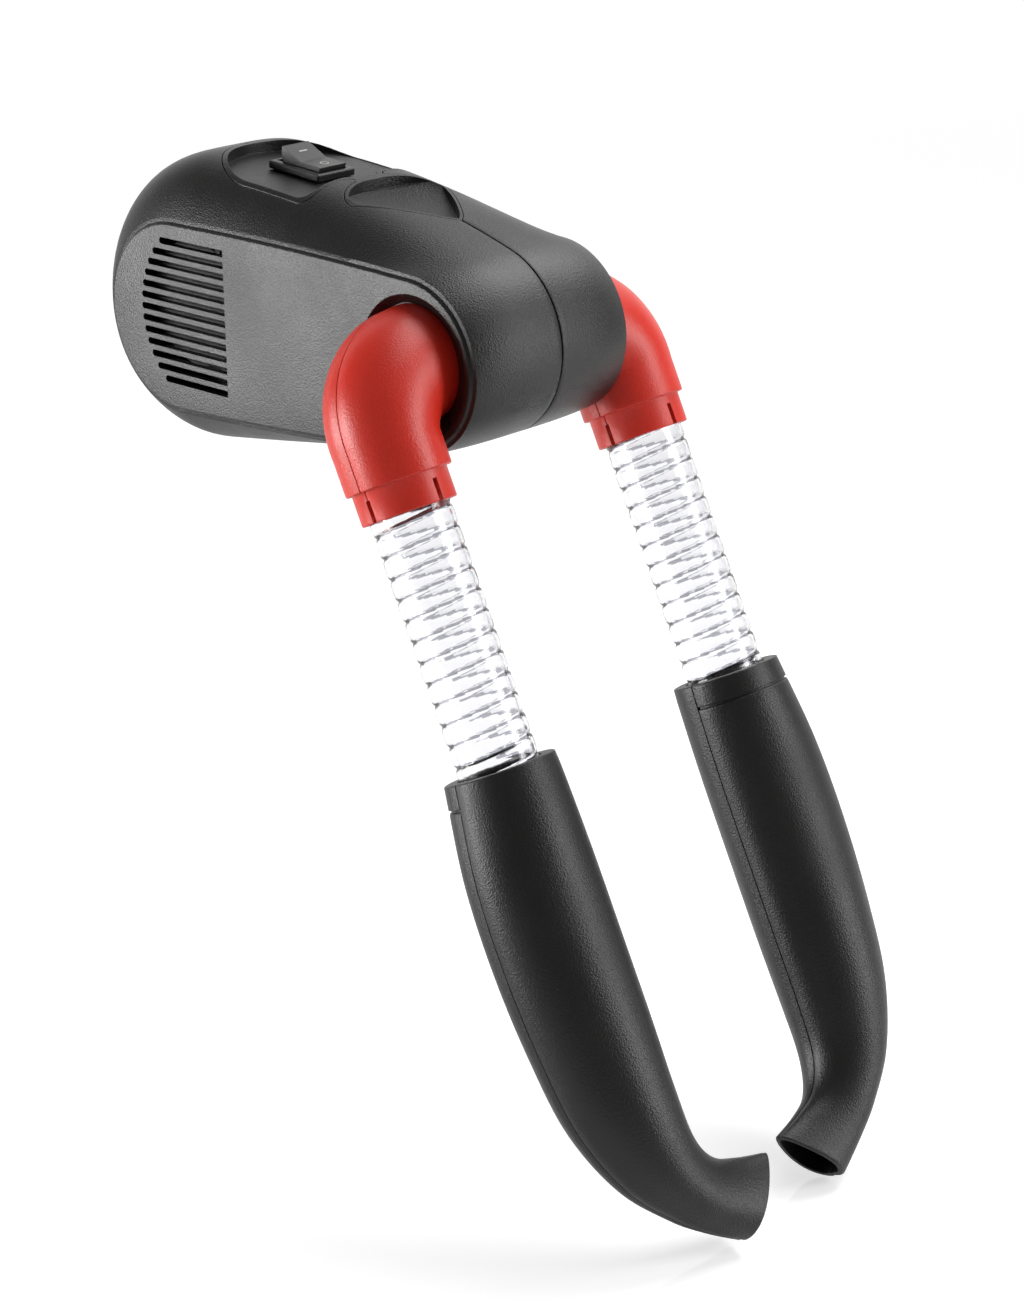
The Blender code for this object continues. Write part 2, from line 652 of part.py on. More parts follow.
def build_switch(panel, black, metal):
    half_w, half_l = SWITCH_WIDTH / 2, SWITCH_LENGTH / 2
    top = GAP + SWITCH_RIM
    rim = box("switch_body", (-half_w, -half_l, GAP), (half_w, half_l, top))
    switch = place("switch_body", rim, panel, black)
    bevel = switch.modifiers.new("rim_edge", "BEVEL")
    bevel.width = SWITCH_CHAMFER
    bevel.segments = 2
    bevel.limit_method = "ANGLE"
    body_w, body_l = half_w - SWITCH_RIM_OVERLAP, half_l - SWITCH_RIM_OVERLAP
    can = box("can", (-body_w, -body_l, -SWITCH_BODY_DEPTH), (body_w, body_l, GAP + 1 * MM))
    join(switch, helper(can, panel))
    window_w = ROCKER_WIDTH / 2 + GAP
    window_l = ROCKER_LENGTH / 2 + 3 * GAP
    well = box("well", (-window_w, -window_l, top - ROCKER_DEPTH - 4 * MM), (window_w, window_l, 2 * top))
    cut(switch, helper(well, panel))
    pin_height = top - ROCKER_PIN_DEPTH
    pin_reach = ROCKER_WIDTH / 2 + ROCKER_PIN_REACH
    hole_reach = pin_reach + GAP
    hole_radius = ROCKER_PIN_RADIUS + RUN
    hole = cylinder("pin_hole", hole_radius, -hole_reach, hole_reach, "X", (0.0, pin_height), sides=16)
    cut(switch, helper(hole, panel))
    pivot = empty("rocker_pivot", panel, (0.0, 0.0, pin_height), (ROCKER_ANGLE, 0.0, 0.0))
    outline = [(y, z + ROCKER_PIN_DEPTH) for y, z in rocker_profile()]
    rocker = place("rocker", prism("rocker", outline, -ROCKER_WIDTH / 2, ROCKER_WIDTH / 2), pivot, black)
    join(rocker, helper(cylinder("pin", ROCKER_PIN_RADIUS, -pin_reach, pin_reach, "X", sides=16), pivot))
    wide, thick, long = TERMINAL_SIZE
    for number, y in enumerate(TERMINAL_PLACES, 1):
        low = (-wide / 2, y - thick / 2, -long)
        blade = box(f"switch_terminal_{number}", low, (wide / 2, y + thick / 2, 0.0))
        place(f"switch_terminal_{number}", blade, panel, metal, (0.0, 0.0, -SWITCH_BODY_DEPTH - GAP))


# ---------------------------------------------------------------- arms


def elbow_stations():
    """(inward, down, heading, outer radius, inner radius) from the end in the port to the collar's end.

    The heading is 0 where the tube runs straight out of the port and 90 where it runs down the arm.
    """
    bend = ARM_SPREAD - PORT_FACE - 1.1 * MM
    stub_end = ARM_SPREAD - MANIFOLD_REACH - GAP
    flange = stub_end - ELBOW_FLANGE_THICKNESS
    shoulder = ARM_SPREAD - PORT_FACE - GAP
    stub = PORT_BORE - STUB_CLEARANCE
    bore = stub - ELBOW_WALL
    stations = [
        (stub_end, 0.0, 0.0, ELBOW_FLANGE_RADIUS, bore),
        (flange + STEP_SLOPE, 0.0, 0.0, ELBOW_FLANGE_RADIUS, bore),
        (flange, 0.0, 0.0, stub, bore),
        (shoulder, 0.0, 0.0, stub, bore),
        (shoulder - STEP_SLOPE, 0.0, 0.0, ELBOW_PORT_RADIUS, bore),
    ]
    steps = 7
    for k in range(steps + 1):
        angle = 90 * k / steps
        turn = math.radians(angle)
        swell = 0.5 * MM * math.sin(2 * turn)
        radius = ELBOW_PORT_RADIUS + (ELBOW_LEG_RADIUS - ELBOW_PORT_RADIUS) * k / steps + swell
        inward = bend * (1 - math.sin(turn))
        down = bend * (1 - math.cos(turn))
        stations.append((inward, down, angle, radius, bore + (radius - ELBOW_LEG_RADIUS) * 0.3))
    collar_bore = HOSE_RADIUS + GAP
    collar = collar_bore + COLLAR_WALL
    stop_start = ELBOW_LEG_END - ELBOW_STOP
    stations += [
        (0.0, stop_start - STEP_SLOPE, 90.0, ELBOW_LEG_RADIUS, bore),
        (0.0, stop_start, 90.0, ELBOW_LEG_RADIUS, ELBOW_STOP_BORE),
        (0.0, ELBOW_LEG_END - STEP_SLOPE, 90.0, ELBOW_LEG_RADIUS, ELBOW_STOP_BORE),
        (0.0, ELBOW_LEG_END, 90.0, ELBOW_LEG_RADIUS, collar_bore),
        (0.0, ELBOW_LEG_END + STEP_SLOPE, 90.0, collar, collar_bore),
        (0.0, COLLAR_END, 90.0, collar, collar_bore),
    ]
    return stations


def half_circle(centre, outward, radius, side, count):
    """Points round the front or rear half of a round section, held off the bend plane by half a gap."""
    points = []
    for k in range(count + 1):
        angle = math.pi * k / count
        away = radius * math.cos(angle)
        y = side * (radius * math.sin(angle) + GAP / 2)
        points.append((centre[0] + away * outward[0], y, centre[1] + away * outward[1]))
    return points


def elbow_half(name, side):
    """One moulded half of an elbow in the arm's frame, whose port lies toward +X."""
    outer, inner = [], []
    for inward, down, heading, radius, bore in elbow_stations():
        turn = math.radians(heading)
        outward = (-math.sin(turn), math.cos(turn))
        centre = (inward, -down)
        outer.append(half_circle(centre, outward, radius, side, HALF_ROUND))
        inner.append(half_circle(centre, outward, bore, side, HALF_ROUND))
    return split_shell(name, outer, inner)


def hose_profile():
    """Closed (radius, height) profile of the ribbed hose: waves outside, a plain bore inside."""
    start = -ELBOW_LEG_END - GAP
    end = -COLLAR_END - HOSE_SHOWN - HOSE_GRIP
    half_waves = 2 * round((start - end) / HOSE_PITCH)
    outside = []
    for k in range(half_waves + 1):
        radius = HOSE_RADIUS - HOSE_RIB * (k % 2)
        outside.append((radius, start + (end - start) * k / half_waves))
    bore = HOSE_RADIUS - HOSE_RIB - HOSE_WALL
    return outside + [(bore, end), (bore, start)]


def between(before, here, there, after, t):
    """The smooth curve through four numbers, at share t of the way from the second to the third."""
    slope = there - before
    bend = 2 * before - 5 * here + 4 * there - after
    twist = 3 * here - before - 3 * there + after
    return 0.5 * (2 * here + slope * t + bend * t * t + twist * t**3)


def smooth_sections(per_span):
    """The nozzle's sections with smooth ones between them, by Catmull-Rom through each number."""
    wider = (NOZZLE_SLEEVE - NOZZLE_DRAWN_SLEEVE) / MM
    rows = []
    for (inner_u, inner_d), (outer_u, outer_d), depth, pinch in NOZZLE_SECTIONS:
        rows.append([inner_u + wider, inner_d, outer_u - wider, outer_d, depth + wider, pinch])
    made = []
    for k in range(len(rows) - 1):
        four = rows[max(k - 1, 0)], rows[k], rows[k + 1], rows[min(k + 2, len(rows) - 1)]
        for step in range(per_span):
            made.append([between(*numbers, step / per_span) for numbers in zip(*four)])
    made.append(rows[-1])
    return made


def nozzle_section(row, side, wall, count):
    """Points round the front or rear half of a section, drawn in by wall."""
    inner_u, inner_d, outer_u, outer_d, depth, pinch = [value * MM for value in row[:5]] + [row[5]]
    centre = Vector(((inner_u + outer_u) / 2, -(inner_d + outer_d) / 2))
    reach = Vector(((outer_u - inner_u) / 2, -(outer_d - inner_d) / 2))
    reach *= (reach.length - wall) / reach.length
    points = []
    for k in range(count + 1):
        angle = math.pi * k / count
        narrow = 1 - pinch * (1 - math.cos(angle)) / 2
        y = side * ((depth - wall) * math.sin(angle) * narrow + GAP / 2)
        away = math.cos(angle)
        points.append((centre.x + away * reach.x, y, centre.y + away * reach.y))
    return points


def nozzle_half(name, side, grooved):
    """One moulded half of a nozzle in its own frame, its tip bending toward +X; one half has the groove."""
    stations = []
    for row in smooth_sections(2):
        if not grooved or abs(row[1] * MM - NOZZLE_COLLAR) > MERGE:
            stations.append(row)
            continue
        inner_u, inner_d, outer_u, outer_d, half = row[:5]
        for depth, down in NOZZLE_GROOVE_SHAPE:
            level = (inner_u - depth, inner_d + down, outer_u + depth, outer_d + down)
            stations.append([*level, half - depth, 0.0])
    outer = [nozzle_section(row, side, 0.0, HALF_ROUND) for row in stations]
    inner = []
    grip = HOSE_RADIUS + GAP
    for row in stations:
        section = nozzle_section(row, side, NOZZLE_WALL, HALF_ROUND)
        if row[1] * MM <= NOZZLE_COLLAR + NOZZLE_GROOVE + RUN:
            section = half_circle((0.0, -row[1] * MM), (-1.0, 0.0), grip, side, HALF_ROUND)
        inner.append(section)
    return split_shell(name, outer, inner)


def build_arms(root, red, black, clear):
    elbow_meshes = {side: elbow_half(f"elbow_{name}", side) for name, side in (("front", -1), ("rear", 1))}
    nozzle_meshes = {-1: nozzle_half("nozzle_plain", -1, False), 1: nozzle_half("nozzle_grooved", 1, True)}
    hose = turned("hose", hose_profile(), HOSE_SIDES)
    for arm, side in (("left", -1), ("right", 1)):
        swivel = empty(f"{arm}_swivel", root, (side * ARM_SPREAD, 0.0, 0.0), (-ARM_LEAN, 0.0, 0.0))
        facing = empty(f"{arm}_facing", swivel, rotation=(0.0, 0.0, 0.0 if side < 0 else 180.0))
        turn = empty(f"{arm}_turn", facing, rotation=(0.0, 0.0, NOZZLE_TURNS[arm]))
        tip = empty(f"{arm}_nozzle_top", turn, (0.0, 0.0, -COLLAR_END - HOSE_SHOWN))
        for mesh_side in (-1, 1):
            where = "front" if mesh_side * side > 0 else "rear"
            elbow = place(f"elbow_{arm}_{where}", elbow_meshes[mesh_side], facing, red)
            slot_low = -COLLAR_END - 1 * MM
            slot_high = -COLLAR_END + COLLAR_SLOT_LENGTH
            low, high = sorted((0.0, mesh_side * 2 * HOSE_RADIUS))
            slot = box("finger_slot", (-COLLAR_SLOT / 2, low, slot_low), (COLLAR_SLOT / 2, high, slot_high))
            cut(elbow, helper(slot, facing))
            place(f"nozzle_{arm}_{where}", nozzle_meshes[mesh_side], tip, black)
        place(f"hose_{arm}", hose, turn, clear)


# ---------------------------------------------------------------- blower


def duct_point(along, up):
    """(y, z) of a point given along the duct line from the port axis, and square to it."""
    dip = math.radians(DUCT_DIP)
    return (along * math.cos(dip) + up * math.sin(dip), -along * math.sin(dip) + up * math.cos(dip))


def fan_on_duct():
    """The fan's centre along the duct line, and square to it."""
    dip = math.radians(DUCT_DIP)
    y, z = FAN_CENTRE
    return (y * math.cos(dip) - z * math.sin(dip), y * math.sin(dip) + z * math.cos(dip))


def scroll_outline(grow, mouth):
    """The fan's scroll: a spiral that widens round the impeller into a straight outlet on the duct line."""
    fan_along, fan_up = fan_on_duct()
    tight = IMPELLER_RADIUS + IMPELLER_RUNNING_GAP
    wide = fan_up + OUTLET_HALF
    last = 2 * math.pi - math.acos((fan_up - OUTLET_HALF - grow) / (tight + grow))
    outline = [duct_point(mouth, -OUTLET_HALF - grow)]
    for k in range(SCROLL_STEPS + 1):
        angle = last * k / SCROLL_STEPS
        radius = wide + (tight - wide) * k / SCROLL_STEPS + grow
        outline.append(duct_point(fan_along + radius * math.sin(angle), fan_up - radius * math.cos(angle)))
    outline.append(duct_point(mouth, OUTLET_HALF + grow))
    return outline


def build_fan(root, grey, dark, metal):
    inside, outside = DUCT_HALF_WIDTH, DUCT_HALF_WIDTH + DUCT_WALL
    mouth = MANIFOLD_LENGTH + HEATER_LENGTH + 2 * GAP
    shell = prism("fan_casing", scroll_outline(DUCT_WALL, mouth), -outside, inside)
    casing = place("fan_casing", shell, root, dark)
    cut(casing, helper(prism("scroll_room", scroll_outline(0.0, mouth - DUCT_WALL), -inside, outside), root))
    cut(casing, along_x("inlet", INLET_RADIUS, 0.0, 2 * outside, FAN_CENTRE, -1, root, sides=48))
    cover = place(
        "fan_cover",
        prism("fan_cover", scroll_outline(DUCT_WALL, mouth), inside + GAP, inside + GAP + DUCT_WALL),
        root,
        dark,
    )
    cut(cover, along_x("inlet", INLET_RADIUS, 0.0, 2 * outside, FAN_CENTRE, 1, root, sides=48))

    fan = empty("fan_axis", root, (0.0, *FAN_CENTRE))
    half, edge = IMPELLER_HALF_WIDTH, IMPELLER_RADIUS
    hub_end = MOTOR_START - GAP
    impeller = place("impeller", cylinder("impeller", HUB_RADIUS, -edge / 3, hub_end, sides=24), fan, dark)
    plate = cylinder("plate", edge - BLADE_DEPTH / 2, -BLADE_RING / 2, BLADE_RING / 2, sides=48)
    join(impeller, helper(plate, fan), helper(blade_ring(), fan))
    for start in (-half, half - BLADE_RING):
        ring = helper(cylinder("ring", edge, start, start + BLADE_RING, sides=48), fan)
        cut(ring, helper(cylinder("ring_hole", edge - BLADE_DEPTH, -2 * half, 2 * half, sides=48), fan))
        join(impeller, ring)
    cut(impeller, helper(cylinder("shaft_hole", SHAFT_RADIUS + GAP, -edge, edge, sides=16), fan))
    shaft_end = MOTOR_START + 6 * MM
    shaft = cylinder("fan_shaft", SHAFT_RADIUS, -edge / 3 - 1 * MM, shaft_end, sides=16)
    place("fan_shaft", shaft, fan, metal)

    motor = place("motor", cylinder("motor", MOTOR_RADIUS, MOTOR_START, MOTOR_END, sides=40), fan, metal)
    bevel = motor.modifiers.new("drawn_edge", "BEVEL")
    bevel.width = 1 * MM
    bevel.segments = 2
    bevel.limit_method = "ANGLE"
    cut(motor, helper(cylinder("bearing", SHAFT_RADIUS + GAP, 0.0, shaft_end + GAP, sides=16), fan))
    inlet_disc("motor_mount", MOTOR_END + GAP, inside + 2 * GAP + DUCT_WALL, 1, fan, grey)
    inlet_disc("inlet_baffle", MOTOR_END + GAP, outside + GAP, -1, fan, grey)


def blade_ring():
    """All the impeller's blades, leaning forward, as separate slabs of one mesh."""
    bm = bmesh.new()
    lean = Matrix.Rotation(math.radians(BLADE_ANGLE), 4, "X")
    out = Matrix.Translation((0.0, 0.0, IMPELLER_RADIUS - BLADE_DEPTH / 2))
    length = 2 * IMPELLER_HALF_WIDTH - BLADE_RING
    slab = Matrix.Diagonal((length, BLADE_THICKNESS, BLADE_DEPTH, 1.0))
    for k in range(IMPELLER_BLADES):
        spin = Matrix.Rotation(2 * math.pi * k / IMPELLER_BLADES, 4, "X")
        bmesh.ops.create_cube(bm, size=1.0, matrix=spin @ out @ lean @ slab)
    return finish_mesh("blades", bm)


def inlet_disc(name, start, foot, side, fan, material):
    """A disc in the inlet's throat, on legs that stand on the casing."""
    low, high = sorted((side * start, side * (start + BAFFLE_THICKNESS)))
    disc = place(name, cylinder(name, BAFFLE_RADIUS, low, high), fan, material)
    inset = BAFFLE_THICKNESS / 8
    for angle in LEG_ANGLES:
        half = LEG_RADIUS * 0.6
        tab = box("tab", (low + inset, -half, BAFFLE_RADIUS / 2), (high - inset, half, LEG_CIRCLE))
        end = side * (start + BAFFLE_THICKNESS)
        leg = cylinder("leg", LEG_RADIUS, *sorted((side * foot, end)), "X", (0.0, LEG_CIRCLE), sides=12)
        for mesh in (tab, leg):
            join(disc, helper(mesh, fan, rotation=(angle, 0.0, 0.0)))


# ---------------------------------------------------------------- duct and heater


def build_duct(root, dark, mica, wire, metal):
    line = empty("duct_line", root, rotation=(-DUCT_DIP, 0.0, 0.0))
    wide, high = DUCT_HALF_WIDTH, OUTLET_HALF
    wall = DUCT_WALL
    tube = cylinder("air_manifold", MANIFOLD_RADIUS, -MANIFOLD_REACH, MANIFOLD_REACH, sides=48)
    manifold = place("air_manifold", tube, line, dark)
    outer = box("branch", (-wide - wall, 0.0, -high - wall), (wide + wall, MANIFOLD_LENGTH, high + wall))
    inner = box("branch_room", (-wide, 0.0, -high), (wide, MANIFOLD_LENGTH + wall, high))
    join(manifold, helper(outer, line))
    past_ends = 2 * MANIFOLD_REACH
    bore = cylinder("manifold_bore", MANIFOLD_RADIUS - wall, -past_ends, past_ends, sides=48)
    cut(manifold, helper(inner, line), helper(bore, line))

    start = MANIFOLD_LENGTH + GAP
    end = start + HEATER_LENGTH
    shell = box("heater_duct", (-wide - wall, start, -high - wall), (wide + wall, end, high + wall))
    duct = place("heater_duct", shell, line, dark)
    cut(duct, helper(box("duct_room", (-wide, 0.0, -high), (wide, 2 * end, high)), line))

    middle = start + HEATER_LENGTH / 2
    card_start, card_end = middle - CARD_LENGTH / 2, middle + CARD_LENGTH / 2
    for name, reach, flat in (("heater_card_upright", high, False), ("heater_card_level", wide, True)):
        card = place(name, card_slab(name, CARD_HALF_WIDTH, card_start, card_end, flat), line, mica)
        for low, up in ((card_start, card_start + CARD_TAB), (card_end - CARD_TAB, card_end)):
            join(card, helper(card_slab("tab", reach - GAP, low, up, flat), line))
        low, up = (0.0, middle + GAP / 2) if flat else (middle - GAP / 2, 2 * end)
        gap = CARD_THICKNESS / 2 + GAP
        cut(card, helper(box("card_slot", (-gap, low, -gap), (gap, up, gap)), line))

    place("heater_coil", coil_mesh(card_start + CARD_TAB, card_end - CARD_TAB), line, wire)
    seat = high + wall + GAP
    centre = (0.0, CUTOUT_PLACE)
    cap = cylinder("thermal_cutout", CUTOUT_RADIUS, seat, seat + CUTOUT_HEIGHT, "Z", centre, sides=28)
    cutout = place("thermal_cutout", cap, line, metal)
    top = high + wall + CUTOUT_HEIGHT
    for x in (-CUTOUT_RADIUS - 1 * MM, CUTOUT_RADIUS / 2):
        far_x = x + CUTOUT_RADIUS / 2 + 1 * MM
        lug = box("lug", (x, CUTOUT_PLACE - 1 * MM, top - 1 * MM), (far_x, CUTOUT_PLACE + 1 * MM, top))
        join(cutout, helper(lug, line))


def card_slab(name, half, start, end, flat):
    thin = CARD_THICKNESS / 2
    across = (half, thin) if flat else (thin, half)
    return box(name, (-across[0], start, -across[1]), (across[0], end, across[1]))


def coil_mesh(start, end):
    """The heating wire, wound round both cards."""
    radius = CARD_HALF_WIDTH + CARD_THICKNESS / 2 + GAP + COIL_WIRE_RADIUS
    curve = bpy.data.curves.new("heater_coil", "CURVE")
    curve.dimensions = "3D"
    curve.bevel_depth = COIL_WIRE_RADIUS
    curve.bevel_resolution = 2
    curve.use_fill_caps = True
    spline = curve.splines.new("POLY")
    count = COIL_TURNS * COIL_POINTS
    spline.points.add(count)
    inset = 2 * COIL_WIRE_RADIUS + GAP
    for k, point in enumerate(spline.points):
        angle = 2 * math.pi * k / COIL_POINTS
        y = start + inset + (end - start - 2 * inset) * k / count
        point.co = (radius * math.cos(angle), y, radius * math.sin(angle), 1.0)
    guide = bpy.data.objects.new("cutter_coil", curve)
    CUTTERS.objects.link(guide)
    graph = bpy.context.evaluated_depsgraph_get()
    mesh = bpy.data.meshes.new_from_object(guide.evaluated_get(graph))
    mesh.name = "heater_coil"
    bpy.data.objects.remove(guide, do_unlink=True)
    bm = bmesh.new()
    bm.from_mesh(mesh)
    bmesh.ops.remove_doubles(bm, verts=bm.verts, dist=MERGE)
    bm.to_mesh(mesh)
    bm.free()
    return mesh


# ---------------------------------------------------------------- electronics, screws and gland


def board_post_places():
    _, y, z = BOARD_CENTRE
    return [(y - POST_SPREAD, z), (y + POST_SPREAD, z)]


def build_electronics(root, green, blue):
    thick, long, high = BOARD_SIZE
    x, y, z = BOARD_CENTRE
    low = (x - thick / 2, y - long / 2, z - high / 2)
    slab = box("circuit_board", low, (x + thick / 2, y + long / 2, z + high / 2))
    board = place("circuit_board", slab, root, green)
    for centre in board_post_places():
        cut(board, along_x("peg_hole", PEG_RADIUS + GAP, 0.0, HALF_WIDTH, centre, -1, root, sides=12))
    start = x + thick / 2 + GAP
    can = cylinder("capacitor", CAPACITOR_RADIUS, start, start + CAPACITOR_HEIGHT, "X", (y, z), sides=24)
    place("capacitor", can, root, blue)


def build_screws(root, metal):
    seat = SCREW_SEAT + GAP
    mesh = cylinder("screw", SCREW_RADIUS, seat - SCREW_LENGTH, seat + GAP, sides=16)
    for name, centre in SCREW_PLACES.items():
        screw = place(f"screw_{name}", mesh, root, metal, (0.0, *centre))
        head = cylinder("head", SCREW_HEAD_RADIUS, seat, seat + SCREW_HEAD_HEIGHT, "X", centre, sides=20)
        join(screw, helper(head, root))


def build_gland(root, rubber):
    rear = FAN_CENTRE[0] + FAN_RADIUS
    height = (0.0, FAN_CENTRE[1])
    flange_end = rear - GLAND_FLANGE_DEPTH
    flange_start = flange_end - GLAND_FLANGE_THICKNESS
    start = flange_start - GLAND_SLEEVE
    sleeve = cylinder("cord_gland", GLAND_RADIUS, start, rear + GLAND_PROUD, "Y", height, sides=24)
    gland = place("cord_gland", sleeve, root, rubber)
    flange = cylinder("flange", GLAND_FLANGE_RADIUS, flange_start, flange_end, "Y", height, sides=24)
    join(gland, helper(flange, root))
    cut(gland, helper(cylinder("gland_bore", GLAND_BORE, 0.0, 2 * rear, "Y", height, sides=20), root))


# ---------------------------------------------------------------- the whole dryer


def set_down(root):
    """Moves the dryer so that the middle of its lowest level is at the origin."""
    bpy.context.view_layer.update()
    graph = bpy.context.evaluated_depsgraph_get()
    low = Vector((math.inf,) * 3)
    high = Vector((-math.inf,) * 3)
    for obj in PARTS.objects:
        if obj.type != "MESH":
            continue
        solid = obj.evaluated_get(graph)
        for corner in solid.to_mesh().vertices:
            point = solid.matrix_world @ corner.co
            low = Vector(map(min, low, point))
            high = Vector(map(max, high, point))
        solid.to_mesh_clear()
    root.location -= Vector(((low.x + high.x) / 2, (low.y + high.y) / 2, low.z))


def build_dryer():
    black = plastic("black_plastic", (0.017, 0.016, 0.015), 0.42)
    red = plastic("red_plastic", (0.50, 0.020, 0.014), 0.30)
    clear = plastic("clear_hose", (0.80, 0.82, 0.82), 0.15)
    dark = plastic("heat_plastic", (0.03, 0.03, 0.03), 0.55)
    grey = plastic("grey_plastic", (0.16, 0.16, 0.16), 0.50)
    metal = plastic("steel", (0.55, 0.55, 0.56), 0.30, 1.0)
    wire = plastic("heating_wire", (0.35, 0.33, 0.31), 0.35, 1.0)
    mica = plastic("mica", (0.62, 0.55, 0.42), 0.60)
    green = plastic("board", (0.03, 0.16, 0.07), 0.45)
    blue = plastic("capacitor", (0.04, 0.10, 0.35), 0.40)
    rubber = plastic("rubber", (0.02, 0.02, 0.02), 0.70)

    root = empty("boot_dryer_frame")
    panel = panel_frame(root)
    build_housing(root, black)
    build_top_insert(root, panel, black)
    build_switch(panel, black, metal)
    build_arms(root, red, black, clear)
    build_fan(root, grey, dark, metal)
    build_duct(root, dark, mica, wire, metal)
    build_electronics(root, green, blue)
    build_screws(root, metal)
    build_gland(root, rubber)
    set_down(root)


build_dryer()
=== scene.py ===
import json
import math

import bmesh
import bpy
from mathutils import Matrix, Vector


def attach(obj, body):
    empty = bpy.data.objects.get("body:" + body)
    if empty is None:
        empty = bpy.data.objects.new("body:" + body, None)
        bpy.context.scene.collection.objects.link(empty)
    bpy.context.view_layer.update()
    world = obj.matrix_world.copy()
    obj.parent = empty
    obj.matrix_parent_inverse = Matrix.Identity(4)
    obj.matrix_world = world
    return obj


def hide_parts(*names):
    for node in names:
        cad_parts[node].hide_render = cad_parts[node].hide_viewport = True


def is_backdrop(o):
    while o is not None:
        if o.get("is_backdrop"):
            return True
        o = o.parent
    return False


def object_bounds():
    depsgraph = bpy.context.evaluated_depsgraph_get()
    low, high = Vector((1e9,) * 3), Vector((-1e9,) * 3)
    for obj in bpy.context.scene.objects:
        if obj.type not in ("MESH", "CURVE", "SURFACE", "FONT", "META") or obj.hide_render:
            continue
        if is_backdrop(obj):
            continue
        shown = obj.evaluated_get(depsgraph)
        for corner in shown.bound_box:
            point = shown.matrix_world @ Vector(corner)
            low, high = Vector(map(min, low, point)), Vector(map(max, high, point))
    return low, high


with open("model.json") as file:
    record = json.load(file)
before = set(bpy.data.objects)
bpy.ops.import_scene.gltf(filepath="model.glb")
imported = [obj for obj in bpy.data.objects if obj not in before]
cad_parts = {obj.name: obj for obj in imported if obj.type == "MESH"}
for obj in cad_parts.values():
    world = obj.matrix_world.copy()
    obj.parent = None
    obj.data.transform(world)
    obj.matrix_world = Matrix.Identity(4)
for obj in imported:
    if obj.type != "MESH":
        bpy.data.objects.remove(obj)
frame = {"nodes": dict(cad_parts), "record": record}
cad_low, cad_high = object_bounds()
nodes = frame["nodes"]
joints = {joint["name"]: joint for joint in frame["record"]["behaviour"]["joints"]}
MM = 0.001

# ---------------------------------------------------------------- camera
# A product camera with a long lens, a little above the dryer and in front of its left side, seen from 0.84 m.
# Its place is given from the port axis, the line that both arms swivel on.
left_port = Vector(joints["left_arm_swivel"]["pos_m"])
right_port = Vector(joints["right_arm_swivel"]["pos_m"])
port = (left_port + right_port) / 2
camera_data = bpy.data.cameras.new("camera")
camera_data.lens = 81.5
camera_data.sensor_width = 36.0
camera_data.sensor_fit = "AUTO"
camera_data.clip_start = 0.05
camera = bpy.data.objects.new("camera", camera_data)
bpy.context.scene.collection.objects.link(camera)
right = Vector((0.68173, -0.73157, -0.00701))
down = Vector((-0.26447, -0.23750, -0.93469))
forward = Vector((0.68213, 0.63906, -0.35539))
camera.matrix_world = Matrix.Translation(port + Vector((-0.5893, -0.5610, 0.2152))) @ Matrix(
    (
        (right.x, -down.x, -forward.x, 0.0),
        (right.y, -down.y, -forward.y, 0.0),
        (right.z, -down.z, -forward.z, 0.0),
        (0.0, 0.0, 0.0, 1.0),
    )
)
bpy.context.scene.camera = camera
bpy.context.scene.view_settings.view_transform = "Standard"

# ---------------------------------------------------------------- floor, backdrop and lamps
# A white studio sweep with a faint polish, which shows a dim reflection under the nozzle tips.
# Three softboxes: a large one over the dryer, one at its left rear for the side panel, one low at the right.
floor_mesh = bpy.data.meshes.new("floor")
reach = 6.0
floor_mesh.from_pydata(
    [(-reach, -reach, 0.0), (reach, -reach, 0.0), (reach, reach, 0.0), (-reach, reach, 0.0)], [], [(0, 1, 2, 3)]
)
floor = bpy.data.objects.new("floor", floor_mesh)
bpy.context.scene.collection.objects.link(floor)
floor.location.z = -0.0004
floor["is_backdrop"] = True
floor_material = bpy.data.materials.new("studio_floor")
floor_material.use_nodes = True
tree = floor_material.node_tree
shader = tree.nodes["Principled BSDF"]
shader.inputs["Base Color"].default_value = (0.90, 0.90, 0.90, 1.0)
shader.inputs["Roughness"].default_value = 0.05
shader.inputs["Emission Color"].default_value = (1.0, 1.0, 1.0, 1.0)
light_path = tree.nodes.new("ShaderNodeLightPath")
glow = tree.nodes.new("ShaderNodeMapRange")
glow.inputs["To Min"].default_value = 0.05
glow.inputs["To Max"].default_value = 0.43
seen_through = tree.nodes.new("ShaderNodeMath")
seen_through.operation = "MAXIMUM"
tree.links.new(light_path.outputs["Is Camera Ray"], seen_through.inputs[0])
tree.links.new(light_path.outputs["Is Transmission Ray"], seen_through.inputs[1])
tree.links.new(seen_through.outputs[0], glow.inputs["Value"])
tree.links.new(glow.outputs["Result"], shader.inputs["Emission Strength"])
floor_mesh.materials.append(floor_material)

world = bpy.data.worlds.new("studio")
bpy.context.scene.world = world
world.use_nodes = True
tree = world.node_tree
link = tree.links.new
background = tree.nodes["Background"]
background.inputs["Color"].default_value = (1.0, 1.0, 1.0, 1.0)
light_path = tree.nodes.new("ShaderNodeLightPath")
place = tree.nodes.new("ShaderNodeTexCoord")
toward = tree.nodes.new("ShaderNodeVectorMath")
toward.operation = "DOT_PRODUCT"
toward.inputs[1].default_value = (0.73, 0.68, 0.05)  # the white paper hangs beyond the dryer
link(place.outputs["Generated"], toward.inputs[0])
paper = tree.nodes.new("ShaderNodeMapRange")
paper.inputs["From Min"].default_value = 0.45
paper.inputs["From Max"].default_value = 0.85
paper.inputs["To Min"].default_value = 0.22
paper.inputs["To Max"].default_value = 1.05
link(toward.outputs["Value"], paper.inputs["Value"])
mirrored = tree.nodes.new("ShaderNodeMath")
mirrored.operation = "MAXIMUM"
